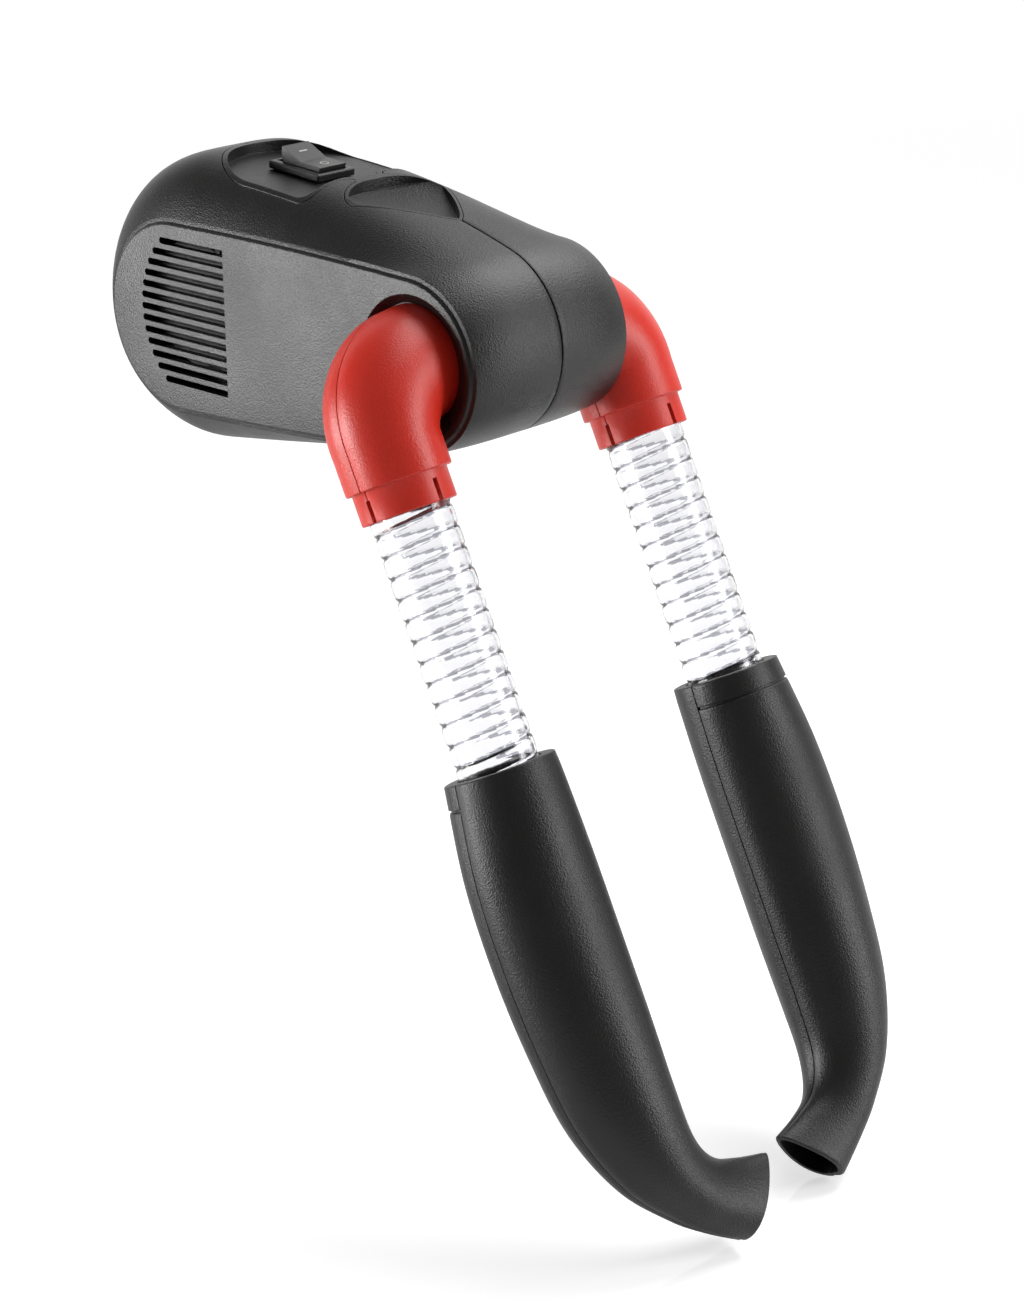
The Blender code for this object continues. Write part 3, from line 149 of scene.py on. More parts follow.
link(light_path.outputs["Is Glossy Ray"], mirrored.inputs[0])
link(light_path.outputs["Is Transmission Ray"], mirrored.inputs[1])
room = tree.nodes.new("ShaderNodeMix")
room.inputs["A"].default_value = 0.26
link(mirrored.outputs[0], room.inputs["Factor"])
link(paper.outputs["Result"], room.inputs["B"])
seen = tree.nodes.new("ShaderNodeMix")
seen.inputs["B"].default_value = 1.05
link(light_path.outputs["Is Camera Ray"], seen.inputs["Factor"])
link(room.outputs["Result"], seen.inputs["A"])
link(seen.outputs["Result"], background.inputs["Strength"])


def softbox(name, place, size, power, target):
    """An area lamp that faces its target; the sizes are its two sides in metres."""
    lamp = bpy.data.lights.new(name, "AREA")
    lamp.shape = "RECTANGLE"
    lamp.size, lamp.size_y = size
    lamp.energy = power
    holder = bpy.data.objects.new(name, lamp)
    bpy.context.scene.collection.objects.link(holder)
    holder.location = place
    holder.rotation_euler = (Vector(target) - Vector(place)).to_track_quat("-Z", "Y").to_euler()


middle = (cad_low + cad_high) / 2
softbox("over", middle + Vector((0.42, -0.10, 0.70)), (0.6, 0.6), 5.5, middle)
softbox("left_rear", middle + Vector((-0.75, 0.62, -0.02)), (0.7, 0.5), 13.0, middle + Vector((0.0, 0.05, 0.10)))
softbox("right_front", middle + Vector((0.55, -0.85, 0.25)), (0.30, 0.9), 6.0, middle)

# ---------------------------------------------------------------- black mouldings
# The housing, the insert, the switch and the nozzles are injection-moulded in black ABS with a fine spark-eroded
# grain.  The grain breaks the highlights into small bright dots, and every edge is rounded a little in the shading.


def grained_plastic(name, colour, roughness, grain, depth, sheen=0.5):
    """A moulded plastic: two sizes of grain as bump, slow changes of roughness, and tone that changes with the fine
    grain.
    """
    material = bpy.data.materials.new(name)
    material.use_nodes = True
    tree = material.node_tree
    link = tree.links.new
    shader = tree.nodes["Principled BSDF"]
    shader.inputs["Specular IOR Level"].default_value = sheen
    place = tree.nodes.new("ShaderNodeTexCoord")
    fine = tree.nodes.new("ShaderNodeTexNoise")
    fine.inputs["Scale"].default_value = grain
    fine.inputs["Detail"].default_value = 3.0
    fine.inputs["Roughness"].default_value = 0.6
    pits = tree.nodes.new("ShaderNodeTexVoronoi")
    pits.inputs["Scale"].default_value = grain * 0.7
    slow = tree.nodes.new("ShaderNodeTexNoise")
    slow.inputs["Scale"].default_value = 38.0
    slow.inputs["Detail"].default_value = 4.0
    for texture in (fine, pits, slow):
        link(place.outputs["Object"], texture.inputs["Vector"])
    height = tree.nodes.new("ShaderNodeMath")
    height.operation = "ADD"
    link(fine.outputs["Fac"], height.inputs[0])
    link(pits.outputs["Distance"], height.inputs[1])
    edges = tree.nodes.new("ShaderNodeBevel")
    edges.samples = 4
    edges.inputs["Radius"].default_value = 0.30 * MM
    bump = tree.nodes.new("ShaderNodeBump")
    link(edges.outputs["Normal"], bump.inputs["Normal"])
    bump.inputs["Strength"].default_value = depth
    bump.inputs["Distance"].default_value = 0.00012
    link(height.outputs[0], bump.inputs["Height"])
    link(bump.outputs["Normal"], shader.inputs["Normal"])
    rough = tree.nodes.new("ShaderNodeMapRange")
    rough.inputs["From Min"].default_value = 0.3
    rough.inputs["From Max"].default_value = 0.7
    rough.inputs["To Min"].default_value = roughness - 0.04
    rough.inputs["To Max"].default_value = roughness + 0.06
    link(slow.outputs["Fac"], rough.inputs["Value"])
    link(rough.outputs["Result"], shader.inputs["Roughness"])
    tone = tree.nodes.new("ShaderNodeMixRGB")
    tone.inputs["Color1"].default_value = (*[c * 0.85 for c in colour], 1.0)
    tone.inputs["Color2"].default_value = (*[min(c * 1.25, 1.0) for c in colour], 1.0)
    link(fine.outputs["Fac"], tone.inputs["Fac"])
    link(tone.outputs["Color"], shader.inputs["Base Color"])
    return material


def paint(names, material):
    """Gives CAD nodes that stay visible their material."""
    for name in names:
        for slot in nodes[name].material_slots:
            slot.link = "OBJECT"
            slot.material = material
        if not nodes[name].material_slots:
            nodes[name].data.materials.append(material)


black = grained_plastic("black_grain", (0.0050, 0.0047, 0.0044), 0.38, 2500.0, 0.62, 0.45)
switch_black = grained_plastic("switch_black", (0.012, 0.0115, 0.011), 0.33, 5200.0, 0.25)
paint(["switch_body", "rocker"], switch_black)
red = grained_plastic("red_grain", (0.56, 0.020, 0.008), 0.34, 2600.0, 0.35)

# ---------------------------------------------------------------- housing
# Two black ABS halves screwed together on the middle plane, with a fine line where they meet.  The outline is an
# egg: a small round nose, a large round fan end, a long arc over and one under.  A flat panel closes each side.
nose = ((-1.2 * MM, 2.0 * MM), 27.8 * MM)
fan_end = ((93.0 * MM, 1.2 * MM), 43.3 * MM)
panel_nose = ((0.0, 0.0), 24.5 * MM)
panel_fan_end = ((97.0 * MM, -2.8 * MM), 28.5 * MM)
half_width = 32.0 * MM
wall = 2.2 * MM
panel_step = 1.2 * MM
crest_radius = 330 * MM
flat_radius = 1500 * MM
seam_gap = 0.15 * MM
corner_angle = math.radians(32)
at_port = Matrix.Translation(port)


def arc_points(centre, radius, start, end, count):
    angles = [start + (end - start) * k / count for k in range(count)]
    return [(centre[0] + radius * math.cos(a), centre[1] + radius * math.sin(a)) for a in angles]


def touching_centre(small, large, radius, side):
    """Centre of the long arc that holds both circles and touches them, on the side asked for."""
    to_small, to_large = radius - small[1], radius - large[1]
    apart = math.dist(small[0], large[0])
    along = (to_small**2 - to_large**2 + apart**2) / (2 * apart)
    aside = side * math.sqrt(to_small**2 - along**2)
    line = ((large[0][0] - small[0][0]) / apart, (large[0][1] - small[0][1]) / apart)
    return (small[0][0] + along * line[0] - aside * line[1], small[0][1] + along * line[1] + aside * line[0])


def egg(small, large, crest, keel, inset):
    """A closed (y, z) outline drawn in by inset."""

    def heading(start, end):
        return math.atan2(end[1] - start[1], end[0] - start[0])

    over = touching_centre(small, large, crest, -1)
    under = touching_centre(small, large, keel, 1)
    small_top, large_top = heading(over, small[0]), heading(over, large[0])
    small_low, large_low = heading(under, small[0]) + 2 * math.pi, heading(under, large[0])
    return (
        arc_points(over, crest - inset, large_top, small_top, 36)
        + arc_points(small[0], small[1] - inset, small_top, small_low, 44)
        + arc_points(under, keel - inset, small_low, large_low + 2 * math.pi, 24)
        + arc_points(large[0], large[1] - inset, large_low, large_top, 56)
    )


def crown_ring(share, reach, inset):
    """The outline at a share of the way from the middle plane out to the panel's edge."""
    ring = []
    middle_line = egg(nose, fan_end, crest_radius, flat_radius, inset)
    edge_line = egg(panel_nose, panel_fan_end, flat_radius, flat_radius, inset - 1.0 * MM)
    for outer, edge in zip(middle_line, edge_line):
        along = min(max((outer[0] - nose[0][0]) / (fan_end[0][0] - nose[0][0]), 0.0), 1.0)
        rise = 1 - share ** (3.2 + 1.4 * along)
        y = edge[0] + (outer[0] - edge[0]) * rise
        z = edge[1] + (outer[1] - edge[1]) * rise
        ring.append((share * reach, y, z))
    return ring


def outer_rings():
    """The outside, with a softened edge on the middle plane and a rounded step round the panel."""
    rings = []
    for x, dip in ((seam_gap, 0.40 * MM), (0.28 * MM, 0.12 * MM), (0.55 * MM, 0.0)):
        rings.append([(x, y, z) for _, y, z in crown_ring(0.0, 0.0, dip)])
    rings += [crown_ring(math.sin(math.pi / 2 * k / 22), half_width - panel_step, 0.0) for k in range(1, 23)]
    for k in range(1, 9):
        turn = math.pi / 2 * k / 8
        inset = 0.25 * MM + 0.9 * MM * (1 - math.cos(turn)) if k > 1 else 0.15 * MM
        x = half_width - panel_step + panel_step * math.sin(turn)
        rings.append([(x, y, z) for y, z in egg(panel_nose, panel_fan_end, flat_radius, flat_radius, inset)])
    return rings


def closed_mesh(name, rings):
    """A skin over rings that have as many points each, closed by its first and last ring."""
    bm = bmesh.new()
    made = [[bm.verts.new(point) for point in ring] for ring in rings]
    for ring, following in zip(made, made[1:]):
        for k in range(len(ring)):
            bm.faces.new((ring[k - 1], ring[k], following[k], following[k - 1]))
    bm.faces.new(made[0])
    bm.faces.new(made[-1])
    bmesh.ops.recalc_face_normals(bm, faces=bm.faces)
    mesh = bpy.data.meshes.new(name)
    bm.to_mesh(mesh)
    bm.free()
    return mesh


def scratch_object(name, mesh, matrix=at_port):
    """A helper that a Boolean reads; it is removed once the piece is made."""
    helper = bpy.data.objects.new(name, mesh)
    bpy.context.scene.collection.objects.link(helper)
    helper.matrix_world = matrix
    return helper


def carved(name, start, steps, material, body, replaced):
    """Runs the Booleans on a start object, keeps the result as one mesh and removes the start object."""
    for operation, other in steps:
        step = start.modifiers.new(operation, "BOOLEAN")
        step.operation = operation
        step.object = other
        step.solver = "EXACT"
    bpy.context.view_layer.update()
    mesh = bpy.data.meshes.new_from_object(start.evaluated_get(bpy.context.evaluated_depsgraph_get()))
    mesh.name = name
    mesh.materials.clear()
    mesh.materials.append(material)
    mesh.shade_smooth()
    mesh.set_sharp_from_angle(angle=corner_angle)
    piece = bpy.data.objects.new(name, mesh)
    bpy.context.scene.collection.objects.link(piece)
    piece.matrix_world = start.matrix_world
    bpy.data.objects.remove(start)
    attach(piece, body)
    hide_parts(replaced)
    return piece


def join_meshes(name, meshes):
    """Several closed meshes that don't touch, as one."""
    bm = bmesh.new()
    for mesh in meshes:
        bm.from_mesh(mesh)
    joined = bpy.data.meshes.new(name)
    bm.to_mesh(joined)
    bm.free()
    return joined


def bar(name, outline, low, high, axis):
    """An outline drawn out from low to high along x or z."""
    if axis == "x":
        rings = [[(c, a, b) for a, b in outline] for c in (low, high)]
    else:
        rings = [[(a, b, c) for a, b in outline] for c in (low, high)]
    return closed_mesh(name, rings)


def disc(radius, centre, count=40):
    return arc_points(centre, radius, 0.0, 2 * math.pi, count)


leaf_half_width = 18.5 * MM
leaf_point = 9.0 * MM
leaf_length = 25.0 * MM
leaf_shoulder = 34.0 * MM
leaf_end = 11.0 * MM
bridge_half_width = 5.5 * MM
lobe_radius = 23.5 * MM
lobe_centre = 73.5 * MM
lobe_front = 48.0 * MM


def insert_outline(grow):
    """Plan of the top insert, (x, y): a thumb leaf, a narrow bridge and the switch panel with its round rear end."""
    leaf = []
    for k in range(13):
        share = k / 12
        out = (leaf_half_width + grow) * share**0.80
        leaf.append((out, (leaf_point - grow) + (leaf_length + grow) * share))
    for k in range(1, 13):
        turn = math.pi / 2 * k / 12
        out = (leaf_half_width + grow) * math.cos(turn)
        leaf.append((out, leaf_shoulder + (leaf_end + grow) * math.sin(turn)))
    bridge = bridge_half_width + grow
    right_side = [point for point in leaf if point[0] > bridge or point[1] < leaf_shoulder]
    lobe = lobe_radius + grow
    front = lobe_front - grow
    corner = 4.0 * MM
    right_side.append((bridge, front - 2.0 * MM))
    right_side.append((bridge + 1.0 * MM, front - 0.6 * MM))
    right_side.append((bridge + 3.0 * MM, front))
    for k in range(6):
        turn = -math.pi / 2 + math.pi / 2 * k / 5
        right_side.append((lobe - corner + corner * math.cos(turn), front + corner + corner * math.sin(turn)))
    for k in range(17):
        turn = math.pi / 2 * k / 16
        right_side.append((lobe * math.cos(turn), lobe_centre + lobe * math.sin(turn)))
    left_side = [(-x, y) for x, y in reversed(right_side) if x > 0.1 * MM]
    return right_side + left_side


slot_pitch = 3.5 * MM
slot_half = 0.95 * MM
slot_middle = -1.2 * MM
slot_front = 74.6 * MM
slot_rear_centre = 83.0 * MM
slot_rear_radius = 28.5 * MM
boss_radius = 3.4 * MM
port_boss_radius = 20.5 * MM
# Each port room as (out from the middle, radius, ahead), and each screw hole as (along the screw, radius), in mm.
port_profile = (
    (0.0, 15.1, 0.0),
    (27.9, 15.1, 0.0),
    (28.0, 15.2, 0.0),
    (28.0, 17.1, 0.0),
    (29.0, 17.1, 0.0),
    (34.2, 22.6, -3.8),
)
screw_profile = ((-1.0, 1.7), (12.0, 1.7), (12.0, 3.1), (64.0, 3.1))
screw_places = ((26.0, 16.0), (31.0, -28.3), (64.0, -32.5), (128.6, -13.5), (118.0, 29.0))
for half, side in (("left", -1), ("right", 1)):
    outside = [[(side * x, y, z) for x, y, z in ring] for ring in outer_rings()]
    hollow = []
    for k in range(10):
        share = math.sin(math.pi / 2 * k / 9)
        ring = crown_ring(share, half_width - wall, wall)
        hollow.append([(side * max(x, seam_gap), y, z) for x, y, z in ring])
    shell = closed_mesh(f"housing_{half}", outside[::-1] + hollow)
    start = scratch_object(f"housing_{half}_start", shell)
    solid_rings = []
    for share in (0.0, 0.5, 0.8, 0.93, 1.0):
        ring = crown_ring(share, half_width - 0.5 * MM, 1.1 * MM)
        solid_rings.append([(side * max(x - 0.6 * MM, 0.1 * MM), y, z) for x, y, z in ring])
    core = scratch_object("core", closed_mesh("core", solid_rings))
    boss_span = sorted((side * 0.15 * MM, side * half_width))
    rods = [bar("boss", disc(boss_radius, (y * MM, z * MM)), *boss_span, "x") for y, z in screw_places]
    port_span = sorted((side * 20.7 * MM, side * 31.0 * MM))
    rods.append(bar("port_boss", disc(port_boss_radius, (0.0, 0.0), 72), *port_span, "x"))
    bosses = scratch_object("bosses", join_meshes("bosses", rods))
    trim = bosses.modifiers.new("inside", "BOOLEAN")
    trim.operation = "INTERSECT"
    trim.object = core
    trim.solver = "EXACT"
    room = []
    for x, radius, ahead in port_profile:
        room.append([(side * x * MM, y, z) for y, z in disc(radius * MM, (ahead * MM, 0.0), 96)])
    cutters = [closed_mesh("port_room", room)]
    for index in range(-6, 7):
        z = slot_middle + index * slot_pitch
        rear = slot_rear_centre + math.sqrt(slot_rear_radius**2 - (index * slot_pitch) ** 2) - slot_half
        outline = [(slot_front, z + slot_half), (slot_front, z - slot_half)]
        for k in range(10):
            turn = math.radians(-90 + 20 * k)
            outline.append((rear + slot_half * math.cos(turn), z + slot_half * math.sin(turn)))
        cutters.append(bar("slot", outline, *sorted((side * 27.6 * MM, side * 34.2 * MM)), "x"))
    for y, z in screw_places if side > 0 else ():
        hole = [[(x * MM, a, b) for a, b in disc(r * MM, (y * MM, z * MM))] for x, r in screw_profile]
        cutters.append(closed_mesh("screw_hole", hole))
    cutters.append(bar("insert_hole", insert_outline(0.3 * MM), 28.7 * MM, 80.0 * MM, "z"))
    gland_hole = [[(x, y, z) for x, z in disc(5.0 * MM, (0.0, 1.2 * MM))] for y in (129.7 * MM, 138.5 * MM)]
    cutters.append(closed_mesh("gland_hole", gland_hole))
    cutter = scratch_object("cutter", join_meshes("cutter", cutters))
    steps = (("UNION", bosses), ("DIFFERENCE", cutter))
    carved(f"housing_{half}_shell", start, steps, black, "housing", f"housing_{half}")
    for helper in (cutter, bosses, core):
        bpy.data.objects.remove(helper)

# ---------------------------------------------------------------- top insert
# A black moulding let into the top: a sunk, gently sloping switch panel with a low rim, and in front of it a dished
# leaf for the thumb that ends in a point on the nose's parting line.
switch_slope = math.radians(4.6)
switch_height = 38.3 * MM + 10.5 * MM * math.tan(switch_slope)
on_panel = at_port @ Matrix.Translation((0.0, 70.0 * MM, switch_height)) @ Matrix.Rotation(switch_slope, 4, "X")
start = scratch_object("insert_start", bar("insert", insert_outline(0.0), 29.0 * MM, 80.0 * MM, "z"))
whole = [[(-x, y, z) for x, y, z in ring] for ring in outer_rings()[:2:-1]] + outer_rings()[3:]
envelope = scratch_object("envelope", closed_mesh("envelope", whole))
plan = [(x, y) for x, y in insert_outline(-1.2 * MM) if y > 46.0 * MM]
to_panel = on_panel.inverted() @ at_port
sunk = []
for level in (0.0, 30.0 * MM):
    sunk.append([(x, (to_panel @ Vector((x, y, switch_height))).y, level) for x, y in plan])
recess = scratch_object("recess", closed_mesh("recess", sunk), on_panel)
under = [(-60 * MM, -22.0 * MM), (60 * MM, -22.0 * MM), (60 * MM, 40 * MM), (-60 * MM, 40 * MM)]
below = scratch_object("below", bar("below", under, -40 * MM, -2.5 * MM, "z"), on_panel)
opening = [(9.5 * MM * a, 9.6 * MM * b) for a, b in ((-0.68, -1), (0.68, -1), (0.68, 1), (-0.68, 1))]
hole = scratch_object("hole", bar("hole", opening, -10 * MM, 10 * MM, "z"), on_panel)
bm = bmesh.new()
bmesh.ops.create_uvsphere(bm, u_segments=72, v_segments=48, radius=1.0)
bmesh.ops.scale(bm, vec=(18.6 * MM, 23.5 * MM, 5.2 * MM), verts=bm.verts)
dish_mesh = bpy.data.meshes.new("dish")
bm.to_mesh(dish_mesh)
bm.free()
tilt = Matrix.Rotation(math.radians(12.5), 4, "X")
dish = scratch_object("dish", dish_mesh, at_port @ Matrix.Translation((0.0, 31.0 * MM, 39.2 * MM)) @ tilt)
inside_leaf = [(x, y) for x, y in insert_outline(-1.1 * MM) if y < 45.0 * MM]
leaf_room = scratch_object("leaf_room", bar("leaf_room", inside_leaf, 20.0 * MM, 60.0 * MM, "z"))
trim = dish.modifiers.new("leaf", "BOOLEAN")
trim.operation = "INTERSECT"
trim.object = leaf_room
trim.solver = "EXACT"
steps = (
    ("INTERSECT", envelope),
    ("DIFFERENCE", recess),
    ("DIFFERENCE", below),
    ("DIFFERENCE", dish),
    ("DIFFERENCE", hole),
)
carved("top_insert_shell", start, steps, black, "housing", "top_insert")
for helper in (envelope, recess, below, hole, dish, leaf_room):
    bpy.data.objects.remove(helper)

# ---------------------------------------------------------------- switch marks
# The on and off marks are pad-printed in pale ink on the rocker's two faces: a short line on the raised rear end and
# a ring on the pressed front end.
ink = bpy.data.materials.new("pad_print")
ink.use_nodes = True
tree = ink.node_tree
shader = tree.nodes["Principled BSDF"]
shader.inputs["Roughness"].default_value = 0.55
place = tree.nodes.new("ShaderNodeTexCoord")
wear = tree.nodes.new("ShaderNodeTexNoise")
wear.inputs["Scale"].default_value = 2500.0
tree.links.new(place.outputs["Object"], wear.inputs["Vector"])
tint = tree.nodes.new("ShaderNodeMixRGB")
tint.inputs["Color1"].default_value = (0.34, 0.33, 0.31, 1.0)
tint.inputs["Color2"].default_value = (0.72, 0.71, 0.69, 1.0)
tree.links.new(wear.outputs["Fac"], tint.inputs["Fac"])
tree.links.new(tint.outputs["Color"], shader.inputs["Base Color"])
rocker_angle = math.radians(11.0)
rocker_pivot = Matrix.Translation(joints["switch_rocker"]["pos_m"])
on_rocker = rocker_pivot @ Matrix.Rotation(switch_slope + rocker_angle, 4, "X")
middle_height = 3.0 * MM
ink_depth = 0.02 * MM
for name, y, outside_size, hole_size in (
    ("rocker_mark_on", 4.6 * MM, (1.5 * MM, 0.22 * MM), None),
    ("rocker_mark_off", -4.6 * MM, (1.35 * MM, 1.35 * MM), 1.0 * MM),
):
    bm = bmesh.new()
    if hole_size is None:
        bmesh.ops.create_cube(bm, size=2.0)
        bmesh.ops.scale(bm, vec=(*outside_size, ink_depth), verts=bm.verts)
    else:
        rims = []
        for radius, height in (
            (hole_size, ink_depth),
            (outside_size[0], ink_depth),
            (outside_size[0], -ink_depth),
            (hole_size, -ink_depth),
        ):
            rims.append([bm.verts.new((a, b, height)) for a, b in disc(radius, (0.0, 0.0), 32)])
        for ring, following in zip(rims, rims[1:] + rims[:1]):
            for k in range(32):
                bm.faces.new((ring[k - 1], ring[k], following[k], following[k - 1]))
    bmesh.ops.recalc_face_normals(bm, faces=bm.faces)
    mesh = bpy.data.meshes.new(name)
    bm.to_mesh(mesh)
    bm.free()
    mesh.materials.append(ink)
    mark = bpy.data.objects.new(name, mesh)
    bpy.context.scene.collection.objects.link(mark)
    lift = middle_height + abs(y) * math.tan(rocker_angle) + 0.01 * MM
    lean = Matrix.Rotation(math.copysign(rocker_angle, y), 4, "X")
    mark.matrix_world = on_rocker @ Matrix.Translation((0.0, y, lift)) @ lean
    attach(mark, "rocker")

# ---------------------------------------------------------------- inside the housing
# What shows through the inlet slots and the ports: heat-resistant ducting, a grey moulded wheel, the motor and the
# steel screws.  None of it is polished, and the screws and motor can carry fine rolling marks.
heat_plastic = grained_plastic("heat_plastic", (0.030, 0.030, 0.030), 0.55, 1800.0, 0.5)
paint(["air_manifold", "heater_duct", "fan_casing", "fan_cover", "inlet_baffle", "motor_mount"], heat_plastic)
wheel_grey = grained_plastic("wheel_grey", (0.16, 0.16, 0.16), 0.50, 1800.0, 0.4)
paint(["impeller"], wheel_grey)
rubber = grained_plastic("rubber", (0.018, 0.018, 0.018), 0.70, 1500.0, 0.5)
paint(["cord_gland"], rubber)
mica = grained_plastic("mica_board", (0.62, 0.55, 0.42), 0.60, 900.0, 0.5)
paint(["heater_card_upright", "heater_card_level"], mica)
solder_mask = grained_plastic("solder_mask", (0.03, 0.16, 0.07), 0.30, 3000.0, 0.2)
paint(["circuit_board"], solder_mask)
blue_sleeve = grained_plastic("blue_sleeve", (0.04, 0.10, 0.35), 0.35, 2200.0, 0.15)
paint(["capacitor"], blue_sleeve)


def plated(name, colour, roughness):
    """A plated or drawn metal with fine marks along it and small changes of tone."""
    material = grained_plastic(name, colour, roughness, 4200.0, 0.2)
    material.node_tree.nodes["Principled BSDF"].inputs["Metallic"].default_value = 1.0
    return material


steel = plated("zinc_steel", (0.55, 0.55, 0.56), 0.32)
screws = [f"screw_{spot}" for spot in ("shoulder", "keel_front", "keel_rear", "fan_low", "fan_high")]
paint(screws + ["motor", "fan_shaft", "thermal_cutout", "switch_terminal_1", "switch_terminal_2"], steel)
heating_wire = plated("heating_wire", (0.35, 0.33, 0.31), 0.45)
paint(["heater_coil"], heating_wire)

# ---------------------------------------------------------------- arm frames
# Each arm hangs from its swivel and leans forward.  Its own frame has -Z down the arm and +X towards the middle of
# the dryer, so both arms are the same parts turned half round.
arm_up = Vector(joints["left_nozzle_turn"]["axis"]).normalized()
arm_frames = {}
turned_frames = {}
shell_corner_angle = math.radians(38)
for arm, pivot, side, turn in (("left", left_port, -1, -8.0), ("right", right_port, 1, 0.0)):
    lean = Vector((0.0, 0.0, 1.0)).rotation_difference(arm_up).to_matrix().to_4x4()
    facing = Matrix.Rotation(0.0 if side < 0 else math.pi, 4, "Z")
    arm_frames[arm] = Matrix.Translation(pivot) @ lean @ facing
    turned_frames[arm] = arm_frames[arm] @ Matrix.Rotation(math.radians(turn), 4, "Z")


def half_section(centre, outward, half_width, depth, pinch, side, drawn, count=26):
    """Points round one half of an oval section, held 0.15 mm off the parting line and rounded over next to it."""
    points = []
    for k in range(count + 1):
        angle = math.pi * k / count
        narrow = 1 - pinch * (1 - math.cos(angle)) / 2
        from_seam = min(k, count - k)
        dip = drawn + (0.45, 0.12, 0.0)[min(from_seam, 2)] * MM
        away = (half_width - dip) * math.cos(angle)
        y = side * ((depth - drawn) * math.sin(angle) * narrow + seam_gap)
        points.append((centre[0] + away * outward[0], y, centre[1] + away * outward[1]))
    return points


def shell_from(name, outer, inner, matrix, body, node, material):
    """One moulded half: outside and inside stations joined at both ends and along the parting line."""
    bm = bmesh.new()
    rings = [[bm.verts.new(p) for p in list(out) + list(reversed(within))] for out, within in zip(outer, inner)]
    for ring, following in zip(rings, rings[1:]):
        for here in range(len(ring)):
            there = (here + 1) % len(ring)
            bm.faces.new((ring[here], ring[there], following[there], following[here]))
    for ring in (rings[0], rings[-1]):
        for k in range(len(ring) // 2 - 1):
            bm.faces.new((ring[k], ring[k + 1], ring[-2 - k], ring[-1 - k]))
    bmesh.ops.remove_doubles(bm, verts=bm.verts, dist=1e-6)
    bmesh.ops.recalc_face_normals(bm, faces=bm.faces)
    mesh = bpy.data.meshes.new(name)
    bm.to_mesh(mesh)
    bm.free()
    mesh.shade_smooth()
    mesh.set_sharp_from_angle(angle=shell_corner_angle)
    mesh.materials.append(material)
    piece = bpy.data.objects.new(name, mesh)
    bpy.context.scene.collection.objects.link(piece)
    piece.matrix_world = matrix
    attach(piece, body)
    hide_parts(node)
    return piece


# ---------------------------------------------------------------- elbows
# Red nylon elbows, each moulded in two halves that snap together.  They turn in the housing's ports, and a thin
# slotted collar below each one grips the hose.  The surface has the same fine grain as the black mouldings.
bend = 19.5 * MM
port_radius = 16.8 * MM
leg_radius = 15.15 * MM
leg_end = 29.5 * MM
collar_end = 38.4 * MM
collar_bore = 12.05 * MM
collar_radius = 13.55 * MM
elbow_bore = 12.8 * MM
neck_radius = 14.8 * MM
# Stations as (inward, below, heading in degrees, radius, bore).
elbow_stations = [
    (30.1 * MM, 0.0, 0.0, port_radius, elbow_bore),
    (28.6 * MM, 0.0, 0.0, port_radius, elbow_bore),
    (28.3 * MM, 0.0, 0.0, neck_radius, elbow_bore),
    (20.3 * MM, 0.0, 0.0, neck_radius, elbow_bore),
    (20.3 * MM, 0.0, 0.0, 16.4 * MM, elbow_bore),
    (20.0 * MM, 0.0, 0.0, port_radius, elbow_bore),
]
for k in range(29):
    turn = math.radians(90 * k / 28)
    radius = port_radius + (leg_radius - port_radius) * k / 28 + 0.5 * MM * math.sin(2 * turn)
    inward = bend * (1 - math.sin(turn))
    below = bend * (1 - math.cos(turn))
    elbow_stations.append((inward, below, 90 * k / 28, radius, elbow_bore))
elbow_stations += [
    (0.0, leg_end - 0.9 * MM, 90.0, leg_radius, elbow_bore),
    (0.0, leg_end - 0.25 * MM, 90.0, leg_radius - 0.08 * MM, elbow_bore),
    (0.0, leg_end, 90.0, leg_radius - 0.35 * MM, 12.5 * MM),
    (0.0, leg_end + 0.05 * MM, 90.0, collar_radius + 0.15 * MM, collar_bore),
    (0.0, leg_end + 0.25 * MM, 90.0, collar_radius, collar_bore),
    (0.0, collar_end - 0.3 * MM, 90.0, collar_radius, collar_bore),
    (0.0, collar_end, 90.0, collar_radius - 0.3 * MM, collar_bore + 0.1 * MM),
]
